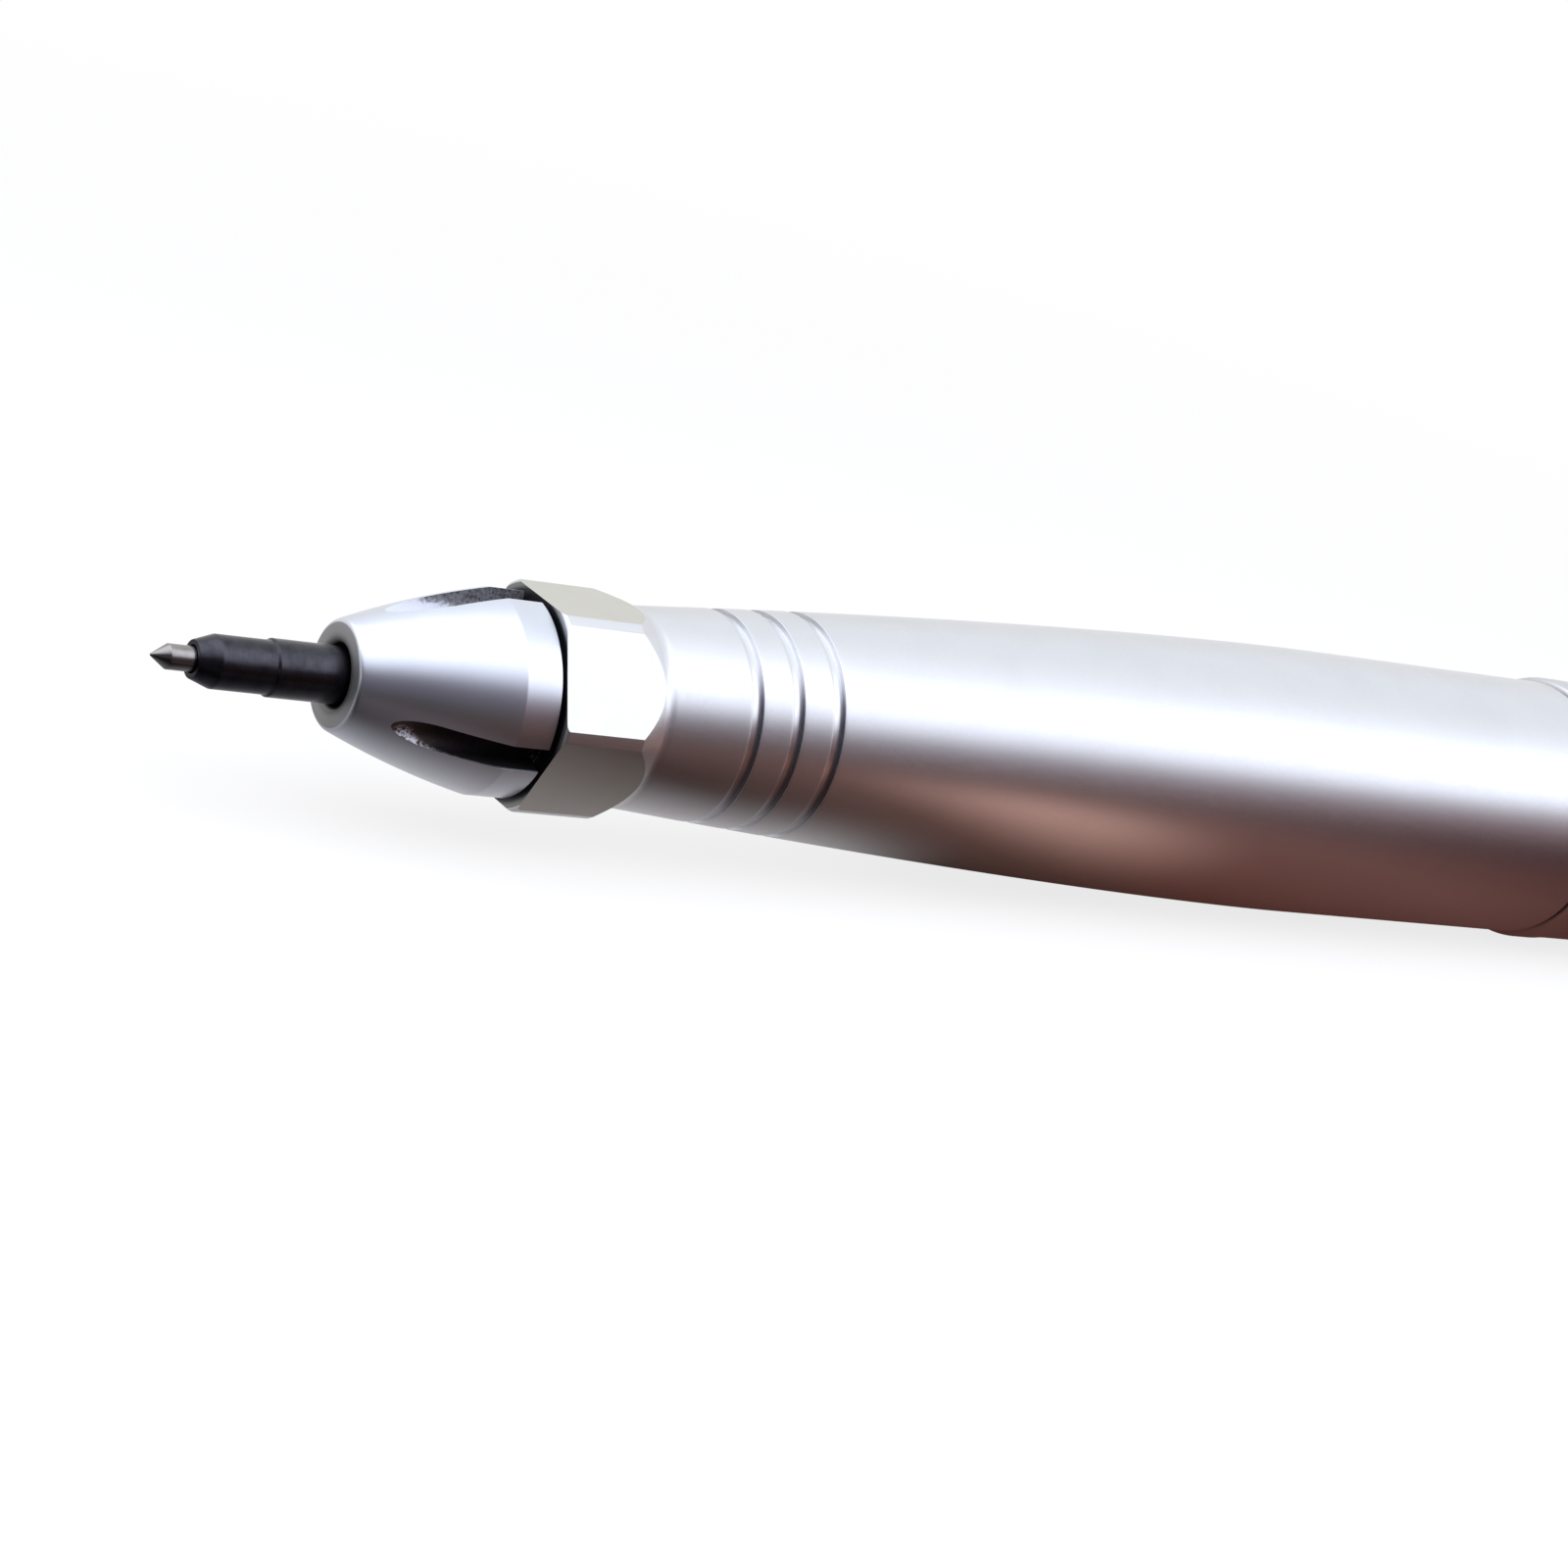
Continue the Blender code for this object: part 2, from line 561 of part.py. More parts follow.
def build_stylus():
    """The stylus with the pieces that stroke with it, and the spring and bumper at its two ends."""
    socket_floor = SHANK_FRONT + POINT_SOCKET_DEPTH
    point_rear = socket_floor - SEAT_GAP
    point = [(0.0, 0.0), (0.0, POINT_TIP_RADIUS), (POINT_CONE_LENGTH, POINT_RADIUS)]
    point += [(point_rear, POINT_RADIUS), (point_rear, 0.0)]
    turned("carbide_point", point, SMALL_SIDES, CARBIDE)
    taper_end = SHANK_FRONT + SHANK_TAPER_LENGTH
    neck_end = taper_end + SHANK_NECK_LENGTH
    socket = POINT_RADIUS + POINT_FIT
    shank = [(SHANK_FRONT, socket), (SHANK_FRONT, SHANK_FACE_RADIUS), (taper_end, SHANK_NECK_RADIUS)]
    shank += [(neck_end, SHANK_NECK_RADIUS), (neck_end + SHANK_RADIUS - SHANK_NECK_RADIUS, SHANK_RADIUS)]
    shank += [(FLANGE_FRONT, SHANK_RADIUS), (FLANGE_FRONT, FLANGE_RADIUS)]
    shank += [(FLANGE_REAR, FLANGE_RADIUS), (FLANGE_REAR, SHANK_RADIUS)]
    shank += [(ANVIL_REAR - ANVIL_CHAMFER, SHANK_RADIUS), (ANVIL_REAR, SHANK_RADIUS - ANVIL_CHAMFER)]
    shank += [(ANVIL_REAR, 0.0), (socket_floor, 0.0), (socket_floor, socket)]
    turned("stylus_shank", shank, SMALL_SIDES, BLACK_OXIDE_STEEL)
    washer_rear = WASHER_FRONT + WASHER_LENGTH
    piece(
        "spring_seat_washer",
        WASHER_FRONT,
        GROUND_STEEL,
        lambda bm: add_tube(
            bm, WASHER_FRONT, washer_rear, SHANK_BORE_RADIUS, FLANGE_RADIUS, SMALL_SIDES
        ),
    )
    spring_front = CHAMBER_FRONT + SEAT_GAP
    coil(
        "stylus_spring",
        on_axis(spring_front),
        Vector((1.0, 0.0, 0.0)),
        WASHER_FRONT - SEAT_GAP - spring_front,
        SPRING_RADIUS,
        SPRING_WIRE_RADIUS,
        SPRING_TURNS,
        SPRING_POINTS_PER_TURN,
        SPRING_STEEL,
    )
    bumper_rear = BUMPER_FRONT + BUMPER_LENGTH
    piece(
        "stylus_bumper",
        BUMPER_FRONT,
        URETHANE,
        lambda bm: add_tube(
            bm, BUMPER_FRONT, bumper_rear, SHANK_BORE_RADIUS, BUSH_PILOT_RADIUS, SMALL_SIDES
        ),
    )


def build_nose_cone():
    """The fluted nose cone, whose spigot screws into the housing."""
    mouth = SHANK_BORE_RADIUS
    outline = [(NOSE_FRONT, mouth + NOSE_MOUTH_CHAMFER), (NOSE_FRONT, NOSE_FACE_RADIUS - NOSE_EDGE)]
    for share in (NOSE_EDGE / NOSE_CONE_LENGTH, 1 / 6, 1 / 3, 1 / 2, 2 / 3, 5 / 6, 1.0):
        outline.append((NOSE_FRONT + NOSE_CONE_LENGTH * share, nose_radius(share)))
    outline += [(NOSE_REAR, NOSE_RADIUS), (NOSE_REAR, NOSE_SPIGOT_RADIUS), (SPIGOT_END, NOSE_SPIGOT_RADIUS)]
    outline += [(SPIGOT_END, SPRING_CHAMBER_RADIUS), (CHAMBER_FRONT, SPRING_CHAMBER_RADIUS)]
    outline += [(CHAMBER_FRONT, mouth), (NOSE_FRONT + NOSE_MOUTH_CHAMFER, mouth)]
    nose = turned("nose_cone", outline, FINE_SIDES, TURNED_STEEL)
    far_flute = FLUTE_CLOCK + FLUTE_SPACING / 2 + math.pi
    flutes = [(FLUTE_CLOCK, FLUTE_RADIUS), (FLUTE_CLOCK + FLUTE_SPACING, TOP_FLUTE_RADIUS)]
    flutes.append((far_flute, FLUTE_RADIUS))
    for index, (angle, radius) in enumerate(flutes):
        cut(
            nose,
            f"flute_{index + 1}",
            lambda bm, angle=angle, radius=radius: add_ball_slot(
                bm,
                NOSE_FRONT + FLUTE_OFFSET,
                SPIGOT_END + radius + CUT_OVERRUN,
                radius,
                FLUTE_FLOOR_RADIUS,
                NOSE_RADIUS + CUT_OVERRUN,
                angle,
            ),
        )


def build_guide_bush():
    """The bronze bush that guides the stylus, notched for the exhaust, with its seal."""
    flange = NOSE_SPIGOT_RADIUS
    half = STYLUS_SEAL_RADIUS + SEAL_FIT
    groove_floor = STYLUS_SEAL_CIRCLE + STYLUS_SEAL_RADIUS + SEAL_FIT
    bore = SHANK_BORE_RADIUS
    outline = [(BUSH_FRONT, bore), (BUSH_FRONT, BUSH_PILOT_RADIUS), (BUSH_FLANGE_FRONT, BUSH_PILOT_RADIUS)]
    outline += [(BUSH_FLANGE_FRONT, flange), (BUSH_TAIL_FRONT, flange), (BUSH_TAIL_FRONT, BUSH_TAIL_RADIUS)]
    outline += [(BUSH_REAR, BUSH_TAIL_RADIUS), (BUSH_REAR, bore)]
    outline += [(STYLUS_SEAL_STATION + half, bore), (STYLUS_SEAL_STATION + half, groove_floor)]
    outline += [(STYLUS_SEAL_STATION - half, groove_floor), (STYLUS_SEAL_STATION - half, bore)]
    bush = turned("guide_bush", outline, MEDIUM_SIDES, BRONZE)
    cut(
        bush,
        "notches",
        *[
            lambda bm, angle=angle: add_radial_slot(
                bm,
                BUSH_FLANGE_FRONT - CUT_OVERRUN,
                BUSH_TAIL_FRONT + CUT_OVERRUN,
                BUSH_NOTCH_WIDTH,
                FLUTE_FLOOR_RADIUS,
                flange + CUT_OVERRUN,
                angle,
            )
            for angle in evenly(BUSH_NOTCHES)
        ],
    )
    o_ring("stylus_seal", STYLUS_SEAL_STATION, STYLUS_SEAL_CIRCLE, STYLUS_SEAL_RADIUS)


def housing_outline():
    """The housing's outline: hexagon blank, chamfer, neck, grooved taper, barrel and stepped bore."""
    outline = [(HOUSING_FRONT, NOSE_BORE_RADIUS), (HOUSING_FRONT, HEX_CORNER_RADIUS - HEX_EDGE)]
    outline += [(HOUSING_FRONT + HEX_EDGE, HEX_CORNER_RADIUS), (HEX_END, HEX_CORNER_RADIUS)]
    outline += [(neck_station(), FLAT_RADIUS - NECK_RELIEF), (body_front(), BODY_FRONT_RADIUS)]
    for index in range(GROOVE_COUNT):
        front = HOUSING_FRONT + GROOVE_OFFSET + GROOVE_PITCH * index - GROOVE_WIDTH / 2
        rear = front + GROOVE_WIDTH
        floor = body_radius(front) - GROOVE_DEPTH
        outline += [(front, body_radius(front)), (front, floor), (rear, floor), (rear, body_radius(rear))]
    start = outline[-1][0]
    taper_end = body_front() + BODY_TAPER_LENGTH
    for index in range(BODY_TAPER_STEPS):
        station = start + (taper_end - start) * (index + 1) / BODY_TAPER_STEPS
        outline.append((station, body_radius(station)))
    thread = THREAD_RADIUS + SLIP_FIT
    step = THREAD_FRONT - PARTING_GAP
    guide = CYLINDER_RADIUS + SLIP_FIT
    outline.append((HOUSING_REAR - BODY_REAR_CHAMFER, BODY_RADIUS))
    outline.append((HOUSING_REAR, BODY_RADIUS - BODY_REAR_CHAMFER))
    outline += [(HOUSING_REAR, thread), (step, thread), (step, MAIN_BORE_RADIUS)]
    outline += [(MAIN_BORE_FRONT, MAIN_BORE_RADIUS), (MAIN_BORE_FRONT, guide)]
    outline += [(BUSH_REAR, guide), (BUSH_REAR, NOSE_BORE_RADIUS)]
    return outline


def add_hex_collar(bm):
    """Add a thick collar with a hexagonal hole, which leaves the housing's six flats."""
    front = HOUSING_FRONT - CUT_OVERRUN
    rear = neck_station() + NECK_LENGTH * NECK_CUT_SHARE
    outer = HEX_CORNER_RADIUS + 2 * CUT_OVERRUN
    corner = FLAT_RADIUS / math.cos(FULL_TURN / HEX_SIDES / 2)
    outline = [(front, corner), (front, outer), (rear, outer), (rear, corner)]
    add_turned(bm, outline, HEX_SIDES)


def build_housing():
    """The housing, with its hexagon milled in front and the stop pin's hole behind."""
    housing = turned("housing", housing_outline(), FINE_SIDES, SATIN_ALUMINIUM)
    cut(housing, "hexagon", add_hex_collar)
    hole = STOP_PIN_RADIUS + STOP_PIN_FIT
    floor = HOUSING_REAR - STOP_PIN_SEAT - SEAT_GAP
    cut(
        housing,
        "stop_pin_hole",
        lambda bm: add_rod(
            bm,
            clock_vector(floor, STOP_PIN_CIRCLE, STOP_CLOCK),
            clock_vector(HOUSING_REAR + CUT_OVERRUN, STOP_PIN_CIRCLE, STOP_CLOCK),
            hole,
        ),
    )


def build_cylinder():
    """The cylinder with exhaust slots in front, exhaust ports, its front feed and its sealed collar."""
    bore = PISTON_BORE_RADIUS
    collar_front = CYLINDER_REAR - COLLAR_LENGTH
    outline = [(CYLINDER_FRONT, bore), (CYLINDER_FRONT, CYLINDER_RADIUS), (collar_front, CYLINDER_RADIUS)]
    outline += [(collar_front, STACK_RADIUS), *outside_groove(COLLAR_SEAL_STATION, STACK_RADIUS)]
    outline += [(CYLINDER_REAR, STACK_RADIUS), (CYLINDER_REAR, bore)]
    cylinder = turned("cylinder", outline, MEDIUM_SIDES, GROUND_STEEL)
    cut(
        cylinder,
        "exhaust_slots",
        *[
            lambda bm, angle=angle: add_radial_slot(
                bm,
                CYLINDER_FRONT - CUT_OVERRUN,
                MAIN_BORE_FRONT + CUT_OVERRUN,
                EXHAUST_SLOT_WIDTH,
                CYLINDER_RADIUS - EXHAUST_SLOT_DEPTH,
                CYLINDER_RADIUS + CUT_OVERRUN,
                angle,
            )
            for angle in evenly(EXHAUST_SLOTS)
        ],
    )
    port = CYLINDER_FRONT + EXHAUST_PORT_OFFSET
    cut(
        cylinder,
        "exhaust_ports",
        *[
            lambda bm, angle=angle: add_rod(
                bm,
                clock_vector(port, bore - CUT_OVERRUN, angle),
                clock_vector(port, CYLINDER_RADIUS + CUT_OVERRUN, angle),
                EXHAUST_PORT_RADIUS,
            )
            for angle in evenly(EXHAUST_PORTS, QUARTER_TURN / 2)
        ],
    )
    outlet = CYLINDER_FRONT + FEED_OUTLET_OFFSET
    cut(
        cylinder,
        "feed",
        lambda bm: add_rod(
            bm,
            clock_vector(outlet, FEED_CIRCLE, 0.0),
            clock_vector(CYLINDER_REAR + CUT_OVERRUN, FEED_CIRCLE, 0.0),
            FEED_RADIUS,
        ),
    )
    cut(
        cylinder,
        "feed_outlet",
        lambda bm: add_rod(
            bm,
            clock_vector(outlet + 2 * FEED_RADIUS, bore - CUT_OVERRUN, 0.0),
            clock_vector(outlet + 2 * FEED_RADIUS, FEED_CIRCLE, 0.0),
            FEED_OUTLET_RADIUS,
        ),
    )
    groove_seal("cylinder_seal", COLLAR_SEAL_STATION, STACK_RADIUS, MAIN_BORE_RADIUS)


def build_piston():
    """The free piston, resting against the stylus's anvil end."""
    rear = PISTON_FRONT + PISTON_LENGTH
    outline = [(PISTON_FRONT, 0.0), (PISTON_FRONT, PISTON_RADIUS - PISTON_CHAMFER)]
    outline += [(PISTON_FRONT + PISTON_CHAMFER, PISTON_RADIUS), (rear - PISTON_CHAMFER, PISTON_RADIUS)]
    outline += [(rear, PISTON_RADIUS - PISTON_CHAMFER), (rear, 0.0)]
    turned("piston", outline, MEDIUM_SIDES, GROUND_STEEL)


def build_valve():
    """The disc valve: its seat plate, the loose disc, the cap over it and the two dowels."""
    plate = piece(
        "valve_seat_plate",
        VALVE_PLATE_FRONT,
        GROUND_STEEL,
        lambda bm: add_tube(
            bm, VALVE_PLATE_FRONT, VALVE_PLATE_REAR, VALVE_PORT_RADIUS, STACK_RADIUS, MEDIUM_SIDES
        ),
    )
    cut(
        plate,
        "feed_hole",
        lambda bm: add_rod(
            bm,
            clock_vector(VALVE_PLATE_FRONT - CUT_OVERRUN, FEED_CIRCLE, 0.0),
            clock_vector(VALVE_PLATE_REAR - FEED_CHANNEL_DEPTH / 2, FEED_CIRCLE, 0.0),
            FEED_RADIUS,
        ),
    )
    cut(
        plate,
        "feed_channel",
        lambda bm: add_radial_slot(
            bm,
            VALVE_PLATE_REAR - FEED_CHANNEL_DEPTH,
            VALVE_PLATE_REAR + CUT_OVERRUN,
            FEED_CHANNEL_WIDTH,
            FEED_CHANNEL_INNER_RADIUS,
            FEED_CIRCLE,
            0.0,
        ),
    )
    disc_rear = VALVE_CAP_FRONT + VALVE_DISC_LENGTH
    turned(
        "valve_disc",
        [
            (VALVE_CAP_FRONT, 0.0),
            (VALVE_CAP_FRONT, VALVE_DISC_RADIUS),
            (disc_rear, VALVE_DISC_RADIUS),
            (disc_rear, 0.0),
        ],
        SMALL_SIDES,
        SPRING_STEEL,
    )
    chamber = VALVE_DISC_RADIUS + SLIP_FIT
    chamber_floor = disc_rear + VALVE_LIFT + SEAT_GAP
    outline = [(VALVE_CAP_FRONT, chamber), (VALVE_CAP_FRONT, STACK_RADIUS), (VALVE_CAP_REAR, STACK_RADIUS)]
    outline += [(VALVE_CAP_REAR, 0.0), (chamber_floor, 0.0), (chamber_floor, chamber)]
    cap = turned("valve_cap", outline, MEDIUM_SIDES, GROUND_STEEL)
    cut(
        cap,
        "feed_holes",
        *[
            lambda bm, angle=angle: add_rod(
                bm,
                clock_vector(VALVE_CAP_FRONT, VALVE_CAP_HOLE_CIRCLE, angle),
                clock_vector(VALVE_CAP_REAR + CUT_OVERRUN, VALVE_CAP_HOLE_CIRCLE, angle),
                VALVE_CAP_HOLE_RADIUS,
            )
            for angle in evenly(VALVE_CAP_HOLES)
        ],
    )
    dowel_front = VALVE_PLATE_FRONT + SEAT_GAP
    dowel_rear = dowel_front + DOWEL_LENGTH
    for target, front, rear in (
        (plate, VALVE_PLATE_FRONT - CUT_OVERRUN, VALVE_PLATE_REAR + CUT_OVERRUN),
        (cap, VALVE_CAP_FRONT - CUT_OVERRUN, dowel_rear + SEAT_GAP),
    ):
        cut(
            target,
            "dowel_holes",
            *[
                lambda bm, angle=angle, front=front, rear=rear: add_rod(
                    bm,
                    clock_vector(front, DOWEL_CIRCLE, angle),
                    clock_vector(rear, DOWEL_CIRCLE, angle),
                    DOWEL_RADIUS + DOWEL_FIT,
                )
                for angle in evenly(DOWEL_COUNT, DOWEL_CLOCK)
            ],
        )
    for index, angle in enumerate(evenly(DOWEL_COUNT, DOWEL_CLOCK)):
        piece(
            f"valve_dowel_{index + 1}",
            dowel_front,
            GROUND_STEEL,
            lambda bm, angle=angle: add_rod(
                bm,
                clock_vector(dowel_front, DOWEL_CIRCLE, angle),
                clock_vector(dowel_rear, DOWEL_CIRCLE, angle),
                DOWEL_RADIUS,
            ),
        )


def build_stack():
    """The wave spring and spacer tube that hold the cylinder and valve forward."""
    front = STACK_SPRING_FRONT
    rear = front + STACK_SPRING_THICKNESS
    inner = STACK_RADIUS - STACK_SPRING_WIDTH
    outline = [(front, inner), (front, STACK_RADIUS), (rear, STACK_RADIUS), (rear, inner)]
    piece(
        "stack_spring",
        front,
        SPRING_STEEL,
        lambda bm: add_turned(
            bm, outline, FINE_SIDES, wave=STACK_SPRING_WAVE, waves=STACK_SPRING_WAVES
        ),
    )
    bore = STACK_RADIUS - SPACER_WALL
    piece(
        "spacer_tube",
        SPACER_FRONT,
        BRASS,
        lambda bm: add_tube(
            bm, SPACER_FRONT, SPACER_REAR, bore, STACK_RADIUS, MEDIUM_SIDES, SPACER_CHAMFER
        ),
    )


def throttle_outline():
    """The throttle body's outside, from its spigot to its inlet boss, with its front gallery."""
    thread_rear = HOUSING_REAR + PARTING_GAP / 2
    clip_floor = THROTTLE_RADIUS - CLIP_GROOVE_DEPTH
    clip_groove_front = CLIP_FRONT - CLIP_FIT
    clip_groove_rear = CLIP_REAR + CLIP_FIT
    outline = [(THROTTLE_FRONT, GALLERY_RADIUS), (THROTTLE_FRONT, STACK_RADIUS - SPIGOT_CHAMFER)]
    outline += [(THROTTLE_FRONT + SPIGOT_CHAMFER, STACK_RADIUS)]
    outline += outside_groove(SPIGOT_SEAL_STATION, STACK_RADIUS)
    outline += [(THREAD_FRONT, STACK_RADIUS), (THREAD_FRONT, THREAD_RADIUS)]
    outline += [(thread_rear, THREAD_RADIUS), (thread_rear, THROTTLE_RADIUS)]
    for station in ring_seal_stations():
        outline += outside_groove(station, THROTTLE_RADIUS)
    outline += [(clip_groove_front, THROTTLE_RADIUS), (clip_groove_front, clip_floor)]
    outline += [(clip_groove_rear, clip_floor), (clip_groove_rear, THROTTLE_RADIUS)]
    outline += [(BOSS_FRONT, THROTTLE_RADIUS), (BOSS_FRONT, INLET_BOSS_RADIUS)]
    outline += [(PEN_REAR - INLET_BOSS_CHAMFER, INLET_BOSS_RADIUS)]
    outline += [(PEN_REAR, INLET_BOSS_RADIUS - INLET_BOSS_CHAMFER), (PEN_REAR, 0.0)]
    gallery_end = DETENT - GALLERY_WALL / 2
    return outline + [(gallery_end, 0.0), (gallery_end, GALLERY_RADIUS)]


def ring_seal_stations():
    """The stations of the two O-rings under the throttle ring."""
    return (RING_FRONT + RING_SEAL_OFFSET, RING_REAR - RING_SEAL_OFFSET)


def add_inlet(bm):
    """Add the inlet's bore with its chamfered mouth and the gallery behind the wall."""
    gallery_front = DETENT + GALLERY_WALL / 2
    mouth = INLET_BORE_RADIUS + INLET_CHAMFER
    outline = [(gallery_front, 0.0), (gallery_front, GALLERY_RADIUS), (INLET_FLOOR, GALLERY_RADIUS)]
    outline += [(INLET_FLOOR, INLET_BORE_RADIUS), (PEN_REAR - INLET_CHAMFER, INLET_BORE_RADIUS)]
    outline += [(PEN_REAR, mouth), (PEN_REAR + CUT_OVERRUN, mouth), (PEN_REAR + CUT_OVERRUN, 0.0)]
    add_turned(bm, outline, MEDIUM_SIDES)


def add_inlet_flat(bm, angle):
    """Add the block that leaves one wrench flat on the inlet boss."""
    reach = INLET_BOSS_RADIUS + CUT_OVERRUN
    add_block(
        bm,
        (BOSS_FRONT + INLET_FLATS_OFFSET, -reach, -reach),
        (PEN_REAR + CUT_OVERRUN, INLET_FLAT_DEPTH - INLET_BOSS_RADIUS, reach),
        angle,
    )


def build_throttle_body():
    """The throttle body: ported round its solid middle, with the inlet behind."""
    body = turned("throttle_body", throttle_outline(), MEDIUM_SIDES, TURNED_STEEL)
    cut(body, "inlet", add_inlet)
    cut(body, "wrench_flats", *[lambda bm, angle=angle: add_inlet_flat(bm, angle) for angle in evenly(2)])
    for label, station in (("front_ports", FRONT_PORT), ("rear_ports", REAR_PORT)):
        cut(
            body,
            label,
            *[
                lambda bm, angle=angle, station=station: add_rod(
                    bm,
                    clock_vector(station, GALLERY_RADIUS - CUT_OVERRUN, angle),
                    clock_vector(station, THROTTLE_RADIUS + CUT_OVERRUN, angle),
                    PORT_RADIUS,
                )
                for angle in evenly(PORT_COUNT)
            ],
        )
    cut(
        body,
        "detent_hole",
        lambda bm: add_rod(
            bm,
            clock_vector(DETENT, THROTTLE_RADIUS - DETENT_HOLE_DEPTH, 0.0),
            clock_vector(DETENT, THROTTLE_RADIUS + CUT_OVERRUN, 0.0),
            BALL_RADIUS + BALL_FIT,
        ),
    )
    groove_seal("housing_seal", SPIGOT_SEAL_STATION, STACK_RADIUS, MAIN_BORE_RADIUS)
    for name, station in zip(("throttle_front_seal", "throttle_rear_seal"), ring_seal_stations()):
        groove_seal(name, station, THROTTLE_RADIUS, RING_BORE_RADIUS)


def build_throttle_ring():
    """The grooved ring that is turned to set the air, with its air pockets, stop slot and ball track."""
    groove = RING_RADIUS - GRIP_GROOVE_DEPTH
    track = BALL_RADIUS + BALL_FIT
    track_radius = THROTTLE_RADIUS + BALL_PROUD + BALL_FIT
    outline = [(RING_FRONT, RING_BORE_RADIUS), (RING_FRONT, RING_RADIUS - RING_CHAMFER)]
    outline += [(RING_FRONT + RING_CHAMFER, RING_RADIUS), (RING_FRONT + GRIP_OFFSET, RING_RADIUS)]
    outline += [(RING_FRONT + GRIP_OFFSET + GRIP_GROOVE_DEPTH, RING_RADIUS, groove)]
    outline += [(RING_REAR - GRIP_OFFSET - GRIP_GROOVE_DEPTH, RING_RADIUS, groove)]
    outline += [(RING_REAR - GRIP_OFFSET, RING_RADIUS), (RING_REAR - RING_CHAMFER, RING_RADIUS)]
    outline += [(RING_REAR, RING_RADIUS - RING_CHAMFER), (RING_REAR, RING_BORE_RADIUS)]
    outline += [(DETENT + track, RING_BORE_RADIUS), (DETENT + track, track_radius)]
    outline += [(DETENT - track, track_radius), (DETENT - track, RING_BORE_RADIUS)]
    ring = turned("throttle_ring", outline, RING_SIDES, SATIN_ALUMINIUM)
    cut(
        ring,
        "air_pockets",
        *[
            lambda bm, angle=angle: add_radial_slot(
                bm,
                FRONT_PORT - PORT_RADIUS - POCKET_MARGIN,
                REAR_PORT + PORT_RADIUS + POCKET_MARGIN,
                POCKET_WIDTH,
                THROTTLE_RADIUS - CUT_OVERRUN,
                RING_BORE_RADIUS + POCKET_DEPTH,
                angle,
            )
            for angle in evenly(PORT_COUNT)
        ],
    )
    half = STOP_PIN_RADIUS + STOP_PIN_FIT
    margin = half / STOP_PIN_CIRCLE
    slot_floor = HOUSING_REAR + STOP_PIN_REACH + SEAT_GAP
    slot_front = RING_FRONT - CUT_OVERRUN
    slot = [(slot_front, STOP_PIN_CIRCLE - half), (slot_front, STOP_PIN_CIRCLE + half)]
    slot += [(slot_floor, STOP_PIN_CIRCLE + half), (slot_floor, STOP_PIN_CIRCLE - half)]
    cut(
        ring,
        "stop_slot",
        lambda bm: add_turned(
            bm, slot, MEDIUM_SIDES, start=STOP_CLOCK - 2 * margin, sweep=THROTTLE_TURN + 4 * margin
        ),
    )


def build_throttle_fittings():
    """The stop pin, the detent's ball and spring, the retaining ring and the inlet screen."""
    pin_front = HOUSING_REAR - STOP_PIN_SEAT
    pin_rear = HOUSING_REAR + STOP_PIN_REACH
    piece(
        "throttle_stop_pin",
        pin_front,
        GROUND_STEEL,
        lambda bm: add_rod(
            bm,
            clock_vector(pin_front, STOP_PIN_CIRCLE, STOP_CLOCK),
            clock_vector(pin_rear, STOP_PIN_CIRCLE, STOP_CLOCK),
            STOP_PIN_RADIUS,
        ),
    )
    ball_circle = THROTTLE_RADIUS + BALL_PROUD - BALL_RADIUS
    piece(
        "detent_ball",
        DETENT,
        GROUND_STEEL,
        lambda bm: bmesh.ops.create_uvsphere(
            bm,
            u_segments=DRILL_SIDES,
            v_segments=SEAL_SIDES,
            radius=BALL_RADIUS,
            matrix=Matrix.Translation(clock_vector(DETENT, ball_circle, 0.0)),
        ),
    )
    spring_foot = THROTTLE_RADIUS - DETENT_HOLE_DEPTH + SEAT_GAP
    spring_top = ball_circle - BALL_RADIUS - SEAT_GAP
    coil(
        "detent_spring",
        on_axis(0.0) + clock_vector(DETENT, spring_foot, 0.0),
        clock_vector(0.0, 1.0, 0.0),
        spring_top - spring_foot,
        DETENT_COIL_RADIUS,
        DETENT_WIRE_RADIUS,
        DETENT_TURNS,
        DETENT_POINTS_PER_TURN,
        SPRING_STEEL,
    )
    clip_inner = THROTTLE_RADIUS - CLIP_GROOVE_DEPTH + SLIP_FIT
    clip_outer = THROTTLE_RADIUS + CLIP_PROUD
    clip = [(CLIP_FRONT, clip_inner), (CLIP_FRONT, clip_outer)]
    clip += [(CLIP_REAR, clip_outer), (CLIP_REAR, clip_inner)]
    piece(
        "retaining_ring",
        CLIP_FRONT,
        SPRING_STEEL,
        lambda bm: add_turned(
            bm, clip, MEDIUM_SIDES, start=CLIP_OPENING / 2 - QUARTER_TURN, sweep=FULL_TURN - CLIP_OPENING
        ),
    )
    screen_front = INLET_FLOOR + SEAT_GAP
    screen_rear = screen_front + SCREEN_THICKNESS
    rim = INLET_BORE_RADIUS - SLIP_FIT
    screen = turned(
        "inlet_screen",
        [(screen_front, 0.0), (screen_front, rim), (screen_rear, rim), (screen_rear, 0.0)],
        MEDIUM_SIDES,
        BRASS,
    )
    cut(
        screen,
        "holes",
        *[
            lambda bm, angle=angle: add_rod(
                bm,
                clock_vector(screen_front - CUT_OVERRUN, SCREEN_HOLE_CIRCLE, angle),
                clock_vector(screen_rear + CUT_OVERRUN, SCREEN_HOLE_CIRCLE, angle),
                SCREEN_HOLE_RADIUS,
            )
            for angle in evenly(SCREEN_HOLES)
        ],
    )


